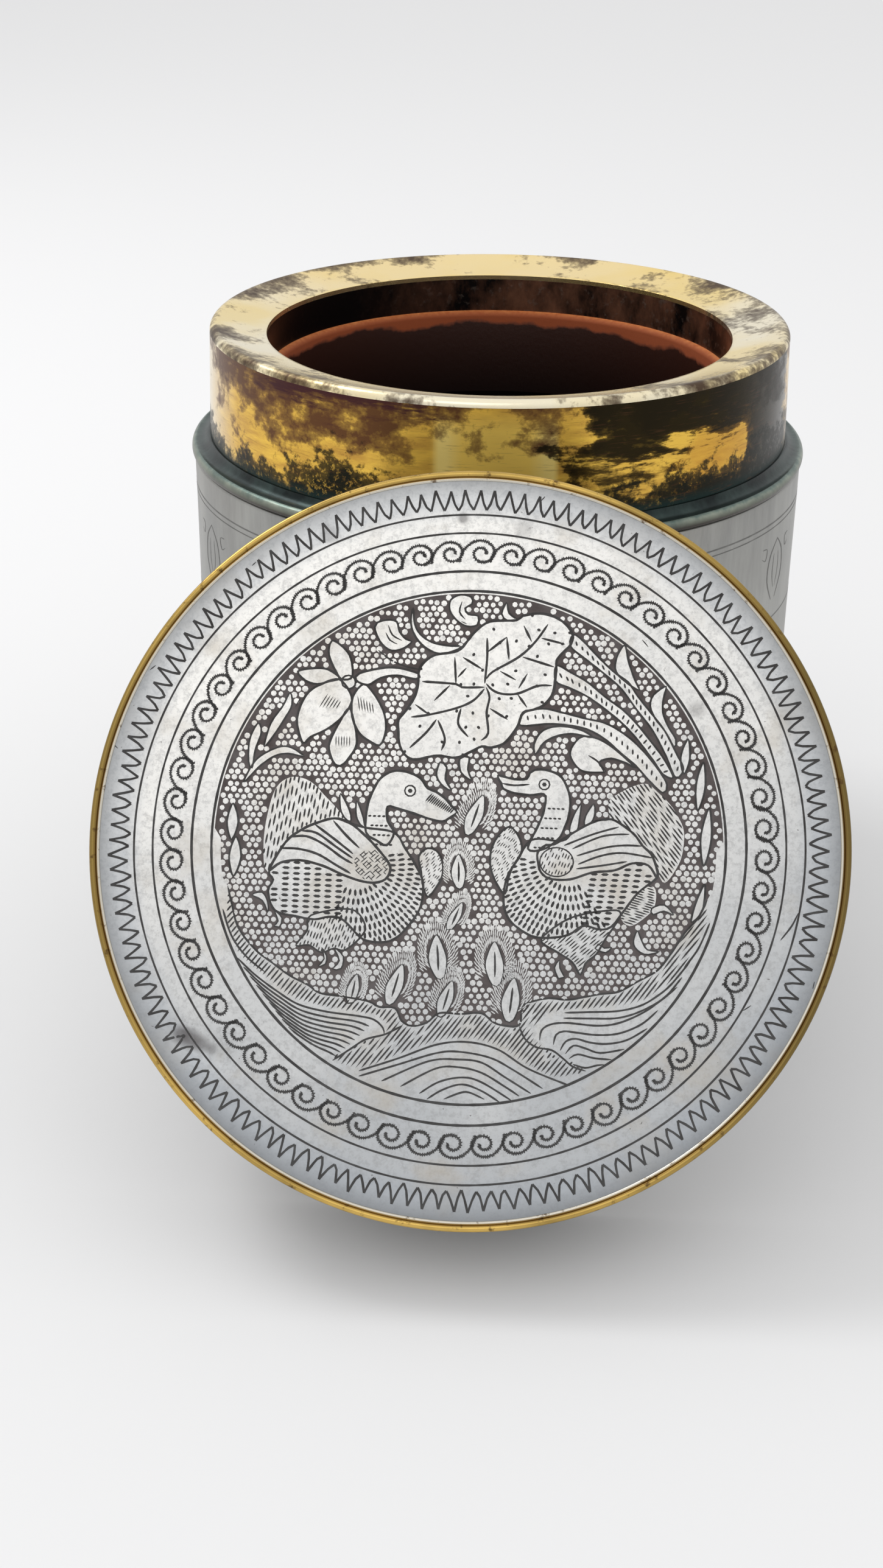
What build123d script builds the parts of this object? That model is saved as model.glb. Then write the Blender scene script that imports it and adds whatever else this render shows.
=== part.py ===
"""Round pewter tea tin with a brass collar and a pottery liner, its lid leaning against it.

Millimetres, +Z up. The origin is the centre of the tin's flat base, on the table.
The lid stands on its open edge in front of the tin, towards -Y, and leans on the collar.
"""

import math
import os

from build123d import *

# The tin's outside.
body_radius = 49.5
wall_thickness = 1.6
foot_bevel = 0.5
body_height = 80.0
base_thickness = 1.6

# The ledge round the collar, with its rounded lip. body_height is the lip's widest level.
lip_overhang = 0.5
lip_half_height = 1.1
lip_crown = 0.75
lip_land = 0.8
ledge_rise = 2.1
ledge_sag = 0.37

# The brass collar, its dished top and the sleeve inside the mouth.
# The ledge is as wide as the lid's wall, so that the closed lid ends flush with the body.
ledge_width = 2.6
rim_width = 9.55
collar_height = 19.6
brass_thickness = 0.8
collar_root = 4.0
dish_depth = 1.85
mouth_depth = 6.3

# The pottery liner.
liner_clearance = 0.6
liner_wall = 3.6
liner_floor = 4.0
liner_mouth_step = 0.95
liner_neck_wall = 4.6
liner_shoulder_drop = 14.0
liner_shoulder_height = 11.0

# The lid.
lid_clearance = 0.4
skirt_edge_chamfer = 0.9
lid_seat_rise = 0.9
lid_headroom = 0.5
lid_plate_thickness = 1.6
bead_overhang = 0.5
bead_width = 1.25
bead_outer_crown = 0.3
bead_inner_crown = 0.2
bead_groove_depth = 0.05

# How the lid leans: back from upright, and turned from straight in front of the tin.
lean_angle = 32.3
lean_turn = 5.0
lean_gap = 0.3

# Levels and radii that follow.
wall_inner_radius = body_radius - wall_thickness
wall_top = body_height - lip_half_height
lip_radius = body_radius + lip_overhang
collar_radius = body_radius - ledge_width
mouth_radius = collar_radius - rim_width
collar_crest = body_height + collar_height
collar_inner_radius = collar_radius - brass_thickness
mouth_level = collar_crest - dish_depth
liner_rim_level = mouth_level - mouth_depth
liner_mouth_radius = mouth_radius - liner_mouth_step
liner_neck_radius = liner_mouth_radius + liner_neck_wall
liner_radius = wall_inner_radius - liner_clearance
liner_inner_radius = liner_radius - liner_wall
liner_shoulder_level = body_height - liner_shoulder_drop
liner_neck_level = liner_shoulder_level + liner_shoulder_height
skirt_inner_radius = collar_radius + lid_clearance
skirt_radius = body_radius
skirt_depth = collar_height - lid_seat_rise + lid_headroom
lid_face_level = skirt_depth + lid_plate_thickness
bead_radius = skirt_radius + bead_overhang
lid_plate_radius = bead_radius - bead_width


def ring_profile(inner, outer, low, high):
    """A plain ring's section in the current sketch, from its radii and levels."""
    with Locations(((inner + outer) / 2, (low + high) / 2)):
        Rectangle(outer - inner, high - low)


def rounded(start, middle, end, steps):
    """Points of the arc through three points, so that a round is turned as short bands."""
    (ax, ay), (bx, by), (cx, cy) = start, middle, end
    twice = 2 * (ax * (by - cy) + bx * (cy - ay) + cx * (ay - by))
    a_size, b_size, c_size = ax * ax + ay * ay, bx * bx + by * by, cx * cx + cy * cy
    centre_x = (a_size * (by - cy) + b_size * (cy - ay) + c_size * (ay - by)) / twice
    centre_y = (a_size * (cx - bx) + b_size * (ax - cx) + c_size * (bx - ax)) / twice
    radius = math.hypot(ax - centre_x, ay - centre_y)
    first, through, last = (
        math.atan2(y - centre_y, x - centre_x) for x, y in (start, middle, end)
    )
    sweep = (last - first) % math.tau
    if (through - first) % math.tau > sweep:
        sweep -= math.tau
    inside = [
        (
            centre_x + radius * math.cos(first + sweep * step / steps),
            centre_y + radius * math.sin(first + sweep * step / steps),
        )
        for step in range(1, steps)
    ]
    return [start, *inside, end]


def report(part_name, part):
    """Label a piece, write its file and say its volume."""
    part.part.label = part_name
    export_step(part.part, "parts/" + part_name + ".step")
    print(part_name, round(part.part.volume), "mm3")


os.makedirs("parts", exist_ok=True)

# Base plate: a flat disc soldered inside the foot of the wall.
with BuildPart() as base_plate:
    with BuildSketch(Plane.XY):
        Circle(wall_inner_radius)
    extrude(amount=base_thickness)

# Body wall: the pewter tube, with its outer edge bevelled at the foot.
with BuildPart() as body_wall:
    with BuildSketch(Plane.XZ):
        Polygon(
            (wall_inner_radius, 0),
            (body_radius - foot_bevel, 0),
            (body_radius, foot_bevel),
            (body_radius, wall_top),
            (wall_inner_radius, wall_top),
            align=None,
        )
    revolve(axis=Axis.Z)

# Shoulder ring: a rounded lip, then a hollow ledge that sweeps up to the collar.
lip_foot = (body_radius - lip_overhang / 2, wall_top)
lip_widest = (lip_radius, body_height)
lip_corner = (
    lip_radius - lip_land * (1 - math.sqrt(0.5)),
    body_height + lip_crown * math.sqrt(0.5),
)
lip_top = (lip_radius - lip_land, body_height + lip_crown)
ledge_top = (collar_radius, body_height + ledge_rise)
ledge_hollow = (
    (lip_top[0] + ledge_top[0]) / 2 - ledge_sag,
    (lip_top[1] + ledge_top[1]) / 2 - ledge_sag,
)
with BuildPart() as shoulder_ring:
    hollow = rounded(lip_top, ledge_hollow, ledge_top, 2)
    with BuildSketch(Plane.XZ):
        Polygon((collar_radius, wall_top), lip_foot, lip_widest, lip_corner, *hollow, align=None)
    revolve(axis=Axis.Z)

# Collar sleeve: the brass neck that the lid slides over, rooted inside the shoulder.
with BuildPart() as collar_sleeve:
    with BuildSketch(Plane.XZ):
        ring_profile(
            collar_inner_radius,
            collar_radius,
            wall_top - collar_root,
            collar_crest - brass_thickness,
        )
    revolve(axis=Axis.Z)

# Collar top: a brass annulus, round at its outer edge and dished down to the mouth.
edge_start = (collar_radius, collar_crest - brass_thickness)
edge_middle = (
    collar_radius - brass_thickness * (1 - math.sqrt(0.5)),
    collar_crest - brass_thickness * (1 - math.sqrt(0.5)),
)
crest = (collar_radius - brass_thickness, collar_crest)
dish_middle = (
    (crest[0] + mouth_radius) / 2,
    collar_crest - dish_depth * 0.62,
)
mouth_edge = (mouth_radius, mouth_level)
with BuildPart() as collar_top:
    rolled_edge = rounded(edge_start, edge_middle, crest, 2)
    dish = rounded(crest, dish_middle, mouth_edge, 2)
    with BuildSketch(Plane.XZ):
        Polygon(
            *rolled_edge,
            *dish[1:],
            (mouth_radius, mouth_level - brass_thickness),
            (crest[0], collar_crest - brass_thickness),
            align=None,
        )
    revolve(axis=Axis.Z)

# Mouth sleeve: a short brass tube from the dished top down to the liner's rim.
with BuildPart() as mouth_sleeve:
    with BuildSketch(Plane.XZ):
        # The annulus above rises outwards, so the tube's flat end stays under its lower edge.
        ring_profile(
            mouth_radius,
            mouth_radius + brass_thickness,
            liner_rim_level,
            mouth_level - brass_thickness,
        )
    revolve(axis=Axis.Z)

# Liner: a thrown pottery jar with a straight neck and a bevelled rim under the sleeve.
liner_inside_floor = base_thickness + liner_floor
with BuildPart() as liner:
    with BuildSketch(Plane.XZ):
        Polygon(
            (0, liner_inside_floor),
            (0, base_thickness),
            (liner_radius, base_thickness),
            (liner_radius, liner_shoulder_level),
            (liner_neck_radius, liner_neck_level),
            (liner_neck_radius, liner_rim_level),
            (mouth_radius, liner_rim_level),
            (liner_mouth_radius, liner_rim_level - liner_mouth_step),
            (liner_mouth_radius, liner_neck_level),
            (liner_inner_radius, liner_shoulder_level - liner_wall),
            (liner_inner_radius, liner_inside_floor),
            align=None,
        )
    revolve(axis=Axis.Z)

# The leaning lid's own frame: origin at the centre of its open edge, +Z out of its top face.
# Its open edge stands on the table at the bottom and meets the collar at the top.
lean = math.radians(lean_angle)
turn = math.radians(lean_turn)
toward = Vector(-math.sin(turn), -math.cos(turn), 0)
lid_normal = toward * math.cos(lean) + Vector(0, 0, math.sin(lean))
lid_across = Vector(math.cos(turn), -math.sin(turn), 0)
edge_distance = collar_radius + lean_gap + skirt_radius * math.sin(lean)
lid_origin = toward * edge_distance + Vector(0, 0, skirt_radius * math.cos(lean))
lid_plane = Plane(origin=lid_origin, x_dir=lid_across, z_dir=lid_normal)
lid_axis = Axis(lid_origin, lid_normal)
lid_section = Plane(origin=lid_origin, x_dir=lid_across, z_dir=lid_across.cross(lid_normal))

# Lid skirt: the pewter side, chamfered inside its open edge to sit over the ledge.
with BuildPart() as lid_skirt:
    with BuildSketch(lid_section):
        Polygon(
            (skirt_inner_radius + skirt_edge_chamfer, 0),
            (skirt_radius, 0),
            (skirt_radius, skirt_depth),
            (skirt_inner_radius, skirt_depth),
            (skirt_inner_radius, skirt_edge_chamfer),
            align=None,
        )
    revolve(axis=lid_axis)

# Lid top: the flat pewter disc.
with BuildPart() as lid_top:
    with BuildSketch(lid_plane.offset(skirt_depth)):
        Circle(lid_plate_radius)
    extrude(amount=lid_plate_thickness)

# Lid bead: the brass binding round the top's edge, two ridges with a groove between.
bead_groove = bead_radius - bead_width * 0.52
bead_side = (bead_radius, lid_face_level - bead_overhang)
bead_groove_point = (bead_groove, lid_face_level + bead_groove_depth)
bead_end = (lid_plate_radius, lid_face_level)
with BuildPart() as lid_bead:
    outer_ridge = rounded(
        bead_side,
        ((bead_radius * 2 + bead_groove) / 3, lid_face_level + bead_outer_crown),
        bead_groove_point,
        3,
    )
    inner_ridge = rounded(
        bead_groove_point,
        ((bead_groove + lid_plate_radius) / 2, lid_face_level + bead_inner_crown),
        bead_end,
        2,
    )
    with BuildSketch(lid_section):
        Polygon(
            (lid_plate_radius, skirt_depth),
            (skirt_radius, skirt_depth),
            *outer_ridge,
            *inner_ridge[1:],
            align=None,
        )
    revolve(axis=lid_axis)

for piece_name, piece in (
    ("base_plate", base_plate),
    ("body_wall", body_wall),
    ("shoulder_ring", shoulder_ring),
    ("collar_sleeve", collar_sleeve),
    ("collar_top", collar_top),
    ("mouth_sleeve", mouth_sleeve),
    ("liner", liner),
    ("lid_skirt", lid_skirt),
    ("lid_top", lid_top),
    ("lid_bead", lid_bead),
):
    report(piece_name, piece)
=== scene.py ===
import math
import random

import bpy
from mathutils import Matrix, Vector, noise
from mathutils.geometry import tessellate_polygon


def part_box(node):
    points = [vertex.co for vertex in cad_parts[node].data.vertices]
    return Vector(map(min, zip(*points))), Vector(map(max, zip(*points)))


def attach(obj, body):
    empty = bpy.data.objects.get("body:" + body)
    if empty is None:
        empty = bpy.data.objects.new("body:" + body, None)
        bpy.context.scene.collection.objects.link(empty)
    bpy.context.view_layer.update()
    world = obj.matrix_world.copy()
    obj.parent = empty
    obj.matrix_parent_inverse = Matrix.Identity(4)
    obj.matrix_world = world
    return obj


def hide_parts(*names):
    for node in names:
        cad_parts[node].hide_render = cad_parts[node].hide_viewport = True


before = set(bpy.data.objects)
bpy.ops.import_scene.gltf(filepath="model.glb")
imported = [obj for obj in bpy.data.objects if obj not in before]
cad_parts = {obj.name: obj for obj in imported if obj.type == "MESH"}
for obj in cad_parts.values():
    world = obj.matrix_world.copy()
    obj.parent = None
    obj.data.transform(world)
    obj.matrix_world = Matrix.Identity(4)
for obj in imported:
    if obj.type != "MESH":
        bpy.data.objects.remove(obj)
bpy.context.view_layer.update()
MM = 0.001

# %% [markdown]
# The photograph was taken from in front of the tin, a little to the left and above it.
# The camera is set by its real place, the way it looks and the lens, worked out from the
# circles of the lip, the mouth and the lid. A long side of 36 mm is what the lens is given for.
# %% The camera
photo_height = 2576
focal_pixels = 3366
sensor_long_side = 36.0
camera_place = Vector((-18.7, -326.9, 182.9)) * MM
camera_down = 0.4732
camera_turn = 0.0309
camera_roll = 0.0093


def place_camera():
    """Put the camera at the photograph's viewpoint."""
    lens = bpy.data.cameras.new("camera")
    lens.sensor_width = sensor_long_side
    lens.lens = focal_pixels / photo_height * sensor_long_side
    lens.clip_start = 0.01
    camera = bpy.data.objects.new("camera", lens)
    ahead = Vector(
        (
            math.sin(camera_turn) * math.cos(camera_down),
            math.cos(camera_turn) * math.cos(camera_down), -math.sin(camera_down),
        )
    )
    right = Vector((math.cos(camera_turn), -math.sin(camera_turn), 0))
    over = right.cross(ahead)
    rolled_right = right * math.cos(camera_roll) + over * math.sin(camera_roll)
    rolled_over = over * math.cos(camera_roll) - right * math.sin(camera_roll)
    axes = Matrix((rolled_right, rolled_over, -ahead)).transposed()
    camera.matrix_world = Matrix.Translation(camera_place) @ axes.to_4x4()
    bpy.context.scene.collection.objects.link(camera)
    bpy.context.scene.camera = camera
    return camera


camera = place_camera()
bpy.context.scene.view_settings.view_transform = "Standard"
print("lens", round(camera.data.lens, 1), "mm")

# %% [markdown]
# Finishes are built from nodes, so that they stay sharp at any distance. Four small helpers
# keep the cells short: one starts a material, one adds a node, one links a socket or sets its
# value, and one gives the shader its colour, metal and roughness.
# %% Starting a finish


def start_finish(name):
    """A new material, its node tree and its shader."""
    material = bpy.data.materials.new(name)
    material.use_nodes = True
    tree = material.node_tree
    return material, tree, tree.nodes["Principled BSDF"]


def add_node(tree, kind, settings=None, **inputs):
    """A node with its settings, and its inputs set or linked by name."""
    node = tree.nodes.new(kind)
    for key, value in (settings or {}).items():
        setattr(node, key, value)
    for key, value in inputs.items():
        set_input(tree, node.inputs[key.replace("_", " ")], value)
    return node


def set_input(tree, socket, value):
    """Link a socket, or give it a plain value."""
    if isinstance(value, bpy.types.NodeSocket):
        tree.links.new(value, socket)
    else:
        socket.default_value = value


def settle(tree, shader, colour, metal, rough):
    """Give a shader its colour, how much it is metal and how rough it is."""
    set_input(tree, shader.inputs["Base Color"], colour)
    set_input(tree, shader.inputs["Metallic"], metal)
    set_input(tree, shader.inputs["Roughness"], rough)


print("finish helpers ready")

# %% [markdown]
# Each piece carries its own place in millimetres as an attribute, so that a stain stays where
# it is on the metal. The patterns are noise read at that place, turned into an amount by a
# ramp, and an amount lays one colour over another.
# %% Places, noise and colours


def place_of(tree):
    """Where a point is on its piece, in millimetres."""
    return add_node(tree, "ShaderNodeAttribute", {"attribute_name": "place"}).outputs["Vector"]


def packed_place(tree):
    """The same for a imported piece, from its own coordinates."""
    own = add_node(tree, "ShaderNodeTexCoord").outputs["Object"]
    moved = add_node(tree, "ShaderNodeMapping", None, Vector=own, Scale=(1000, 1000, 1000))
    return moved.outputs[0]


def clouds(tree, where, scale, detail=4.0, rough=0.55, stretch=(1, 1, 1), seed=0.0):
    """Soft noise between 0 and 1, one grain being about 1/scale millimetres."""
    moved = add_node(tree, "ShaderNodeMapping", None, Vector=where, Scale=stretch)
    set_input(tree, moved.inputs["Location"], (seed, seed * 0.7, -seed))
    made = add_node(
        tree, "ShaderNodeTexNoise", None, Vector=moved.outputs[0], Scale=scale, Detail=detail,
        Roughness=rough,
    )
    return made.outputs["Fac"]


def ramp(tree, value, stops):
    """A number from a number, by stops of (position, result)."""
    node = add_node(tree, "ShaderNodeValToRGB", None, Fac=value)
    points = node.color_ramp.elements
    while len(points) < len(stops):
        points.new(0.5)
    for point, (position, level) in zip(points, stops):
        point.position = position
        point.color = (level, level, level, 1) if isinstance(level, (int, float)) else (*level, 1)
    return node.outputs["Color"]


def blend_colours(tree, amount, first, second):
    """One colour laid over another."""
    node = tree.nodes.new("ShaderNodeMix")
    node.data_type = "RGBA"
    set_input(tree, node.inputs[0], amount)
    for socket, colour in ((node.inputs[6], first), (node.inputs[7], second)):
        set_input(tree, socket, (*colour, 1) if isinstance(colour, tuple) else colour)
    return node.outputs[2]


print("noise helpers ready")

# %% [markdown]
# A stain that sits in one part of a piece needs some arithmetic: a coordinate, a limit, or a
# window between two limits. Every step is a node, so these helpers let a rule be written as a
# sum is.
# %% Arithmetic in a finish


def reckon(tree, how, first, second=0.0, clamp=False):
    """One step of arithmetic."""
    node = tree.nodes.new("ShaderNodeMath")
    node.operation = how
    node.use_clamp = clamp
    set_input(tree, node.inputs[0], first)
    set_input(tree, node.inputs[1], second)
    return node.outputs[0]


def plus(tree, first, second, clamp=False):
    """The sum of two amounts."""
    return reckon(tree, "ADD", first, second, clamp)


def minus(tree, first, second):
    """The first amount less the second."""
    return reckon(tree, "SUBTRACT", first, second)


def times(tree, first, second):
    """The product of two amounts."""
    return reckon(tree, "MULTIPLY", first, second)


def larger(tree, first, second, clamp=False):
    """The larger of two amounts."""
    return reckon(tree, "MAXIMUM", first, second, clamp)


def scaled(tree, value, factor, offset=0.0, clamp=False):
    """value times factor plus offset."""
    out = reckon(tree, "MULTIPLY_ADD", value, factor, clamp)
    set_input(tree, out.node.inputs[2], offset)
    return out


def axis_of(tree, where, letter):
    """One coordinate of a place."""
    return add_node(tree, "ShaderNodeSeparateXYZ", None, Vector=where).outputs[letter]


def span(tree, value, low, high):
    """0 at low, 1 at high, held outside."""
    node = add_node(tree, "ShaderNodeMapRange", None, Value=value)
    set_input(tree, node.inputs["From Min"], low)
    set_input(tree, node.inputs["From Max"], high)
    return node.outputs["Result"]


def window(tree, value, rise_from, rise_to, fall_from, fall_to):
    """1 between two limits, fading outside them."""
    return reckon(
        tree, "MINIMUM", span(tree, value, rise_from, rise_to),
        span(tree, value, fall_to, fall_from),
    )


print("arithmetic helpers ready")

# %% [markdown]
# A tin is round, so two measures suit it better than across and along: how far round from the
# front, and how far out from the axis. Fine relief comes from the same noise as the colour,
# as it does on real metal.
# %% Measures on a round tin


def wrapped_place(tree, where, radius):
    """Millimetres round from the front and up, as if the tin's wall were unrolled."""
    split = add_node(tree, "ShaderNodeSeparateXYZ", None, Vector=where).outputs
    angle = reckon(tree, "ARCTAN2", split["X"], times(tree, split["Y"], -1.0))
    around = times(tree, angle, radius)
    return around, split["Z"]


def distance_out(tree, where):
    """How far a place is from its piece's axis."""
    flat = add_node(tree, "ShaderNodeVectorMath", {"operation": "MULTIPLY"})
    set_input(tree, flat.inputs[0], where)
    flat.inputs[1].default_value = (1, 1, 0)
    length = add_node(tree, "ShaderNodeVectorMath", {"operation": "LENGTH"})
    set_input(tree, length.inputs[0], flat.outputs[0])
    return length.outputs["Value"]


def roughen(tree, shader, height, strength, distance):
    """Fine relief from a height in the finish."""
    node = add_node(
        tree, "ShaderNodeBump", None, Height=height, Strength=strength, Distance=distance,
    )
    set_input(tree, shader.inputs["Normal"], node.outputs["Normal"])


print("round measures ready")

# %% [markdown]
# Pewter is a soft tin metal. Handled for years, it turns from silver to a warm grey, with
# cloudy patches, fine rubs and tiny pits. It is metal that scatters light broadly, so it is
# rough, and its colour changes slowly over the surface. The lid's top is the lightest.
# %% Pewter


def make_pewter(
    name, light, dark, cast, rough=0.40, brushed=(1, 1, 1), flow=(1, 1, 1), find=place_of,
):
    """Old pewter between two greys, with a third colour clouding it."""
    material, tree, shader = start_finish(name)
    where = find(tree)
    patches = ramp(tree, clouds(tree, where, 0.10, 5.0, 0.6, flow), ((0.36, 0.0), (0.70, 1.0)))
    base = blend_colours(tree, patches, light, dark)
    veil = ramp(tree, clouds(tree, where, 0.035, 3.0, 0.5, seed=31.0), ((0.45, 0.0), (0.7, 0.75)))
    base = blend_colours(tree, veil, base, cast)
    pits = ramp(tree, clouds(tree, where, 1.7, 2.0, 0.6, seed=7.0), ((0.17, 0.75), (0.25, 0.0)))
    base = blend_colours(tree, pits, base, (0.10, 0.09, 0.08))
    rubs = clouds(tree, where, 1.2, 4.0, 0.65, stretch=brushed, seed=3.0)
    base = blend_colours(tree, times(tree, rubs, 0.22), base, (0.92, 0.91, 0.89))
    settle(tree, shader, base, 0.86, scaled(tree, rubs, 0.22, rough - 0.11))
    roughen(tree, shader, rubs, 0.22, 0.00006)
    return material


wall_pewter = make_pewter(
    "wall_pewter", (0.31, 0.31, 0.29), (0.18, 0.18, 0.172), (0.245, 0.232, 0.205), 0.42,
    (1, 1, 0.12), (1, 1, 0.28),
)
# Darker pewter, its darkness painted shade for the lid's side, which faces the shaded table.
shade_painted_pewter = make_pewter(
    "shade_painted_pewter", (0.24, 0.235, 0.22), (0.09, 0.088, 0.08), (0.16, 0.145, 0.12), 0.42,
    find=packed_place,
)
print("pewter", wall_pewter.name, shade_painted_pewter.name)

# %% [markdown]
# The brass was polished once. The collar's front is painted bright, with a pale line at either end
# of the brightest part; these are painted reflections. Brown and plum tarnish hangs from its upper
# edge, the right half has gone olive-black with a gold patch left, and black-green corrosion eats
# up from the foot. A picture could hold all this, but then it would blur close up. Here each stain
# and each painted reflection is laid on by its place round the wall, and noise that runs level
# breaks its edges.
# %% The collar's brass
brass_bare = (0.84, 0.53, 0.085)
reflection_pale_colour = (1.0, 0.79, 0.27)
tarnish_brown = (0.11, 0.045, 0.022)
tarnish_plum = (0.055, 0.018, 0.022)
tarnish_black = (0.014, 0.014, 0.009)
verdigris = (0.014, 0.030, 0.028)


def make_collar_brass(low, high, radius):
    """The collar's upright wall, between two heights in millimetres."""
    material, tree, shader = start_finish("collar_brass")
    where = place_of(tree)
    around, level = wrapped_place(tree, where, radius)
    height = span(tree, level, low, high)
    streaks = clouds(tree, where, 0.30, 6.0, 0.66, (0.35, 0.35, 1.8))
    blots = clouds(tree, where, 0.15, 7.0, 0.64, (1, 1, 1.3), 3.0)
    spots = clouds(tree, where, 0.62, 5.0, 0.66, (0.8, 0.8, 1), 19.0)
    scratches = clouds(tree, where, 2.4, 3.0, 0.6, (0.10, 0.10, 1.6), 29.0)
    base = blend_colours(
        tree, ramp(tree, streaks, ((0.38, 0.0), (0.64, 0.9))), brass_bare, (0.50, 0.27, 0.055),
    )
    # Painted reflections: the brightest part, with a pale line at either end.
    painted_bright_reflection = times(
        tree, window(tree, around, -12.4, -10.6, 5.0, 6.6),
        window(tree, height, -0.1, 0.05, 0.74, 0.92),
    )
    base = blend_colours(tree, times(tree, painted_bright_reflection, 0.9), base, (1.0, 0.70, 0.15))
    pale_reflection_lines = larger(
        tree, window(tree, around, -12.0, -11.0, -9.8, -7.6),
        window(tree, around, 2.0, 4.4, 5.6, 6.4),
    )
    pale_reflection_lines = times(tree, pale_reflection_lines, window(tree, height, 0.02, 0.14, 0.66, 0.86))
    base = blend_colours(tree, times(tree, pale_reflection_lines, 0.85), base, reflection_pale_colour)
    ends = window(tree, around, -140.0, -100.0, -66.0, -50.0)
    base = blend_colours(tree, ends, base, (0.80, 0.66, 0.42))
    # Brown clouds on the left, and plum tarnish under the upper edge.
    left = window(tree, around, -70.0, -58.0, -24.0, -12.0)
    brown = plus(tree, times(tree, left, 0.07), times(tree, height, 0.32))
    brown = ramp(tree, plus(tree, brown, blots), ((0.70, 0.0), (0.77, 0.7), (0.86, 0.97)))
    base = blend_colours(tree, brown, base, tarnish_brown)
    front = window(tree, around, -60.0, -36.0, -14.0, 0.0)
    plum = plus(
        tree, times(tree, height, scaled(tree, front, 0.24, 0.55)),
        scaled(tree, streaks, 0.8, -0.22),
    )
    plum = ramp(tree, plum, ((0.78, 0.0), (0.90, 0.93)))
    base = blend_colours(tree, plum, base, tarnish_plum)
    # The olive-black right half, broken by level streaks and its gold patch.
    bent = plus(tree, around, scaled(tree, blots, 22.0, -11.0))
    tilted = plus(tree, height, scaled(tree, streaks, 0.8, -0.4))
    right = window(tree, bent, 3.0, 15.0, 54.0, 62.0)
    patch_left = times(
        tree, window(tree, bent, 25.0, 29.0, 38.0, 43.0),
        window(tree, tilted, 0.06, 0.22, 0.46, 0.66),
    )
    warm_side = times(
        tree, window(tree, bent, 10.0, 16.0, 26.0, 32.0),
        window(tree, tilted, -0.3, -0.2, 0.40, 0.62),
    )
    kept = larger(tree, patch_left, times(tree, warm_side, 0.62))
    stain = plus(tree, minus(tree, right, kept), scaled(tree, streaks, 1.3, -0.62))
    stain = plus(tree, stain, scaled(tree, blots, 1.0, -0.5))
    stain = ramp(tree, stain, ((0.38, 0.0), (0.56, 0.90), (0.80, 0.99)))
    base = blend_colours(tree, stain, base, (0.016, 0.012, 0.005))
    base = blend_colours(tree, times(tree, patch_left, 0.5), base, (0.62, 0.30, 0.04))
    # Corrosion from the foot, with an uneven edge and loose spots above it.
    climb = ramp(
        tree, span(tree, around, -73.0, 73.0),
        (
            (0.0, 0.38), (0.14, 0.18), (0.24, 0.22), (0.31, 0.46), (0.37, 0.34), (0.43, 0.10),
            (0.55, 0.14), (0.70, 0.30), (0.84, 0.42), (1.0, 0.38),
        ),
    )
    black = minus(tree, plus(tree, climb, scaled(tree, blots, 0.9, -0.45)), height)
    black = plus(tree, black, scaled(tree, spots, 0.75, -0.36))
    black = ramp(tree, black, ((0.0, 0.0), (0.09, 0.88), (0.3, 1.0)))
    black = times(
        tree, black,
        ramp(tree, clouds(tree, where, 1.3, 4.0, 0.7, seed=47.0), ((0.36, 0.45), (0.46, 1.0))),
    )
    base = blend_colours(tree, black, base, tarnish_black)
    base = blend_colours(tree, ramp(tree, height, ((0.02, 0.9), (0.10, 0.0))), base, verdigris)
    # Fine scratches everywhere, and a greyer right end.
    fine = ramp(tree, scratches, ((0.30, 0.35), (0.42, 0.0)))
    base = blend_colours(tree, fine, base, tarnish_brown)
    grey_end = window(tree, around, 58.0, 68.0, 100.0, 140.0)
    base = blend_colours(tree, times(tree, grey_end, 0.75), base, (0.62, 0.56, 0.48))
    dull = larger(tree, larger(tree, brown, black), plum, True)
    front_shine = window(tree, around, -24.0, -14.0, 6.0, 12.0)
    blur = plus(tree, scaled(tree, dull, 0.20, 0.18), times(tree, front_shine, 0.22))
    settle(tree, shader, base, 0.93, blur)
    relief = plus(tree, scaled(tree, spots, 0.6), scaled(tree, scratches, 0.5))
    roughen(tree, shader, relief, 0.22, 0.00008)
    return material


collar_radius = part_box("collar_sleeve")[1][0] / MM
collar_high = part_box("collar_top")[1][2] / MM
collar_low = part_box("shoulder_ring")[1][2] / MM
collar_brass = make_collar_brass(collar_low, collar_high, collar_radius)
print("collar from", round(collar_low, 1), "to", round(collar_high, 1), "mm")

# %% [markdown]
# The dished top is rubbed by hands, so it is the palest brass, warmer towards the back. Its
# stains gather along the outer edge and towards the sides. Each of these is a small push on
# one amount of tarnish, so they add up as they do on the metal.
# %% The dished top's brass


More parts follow.
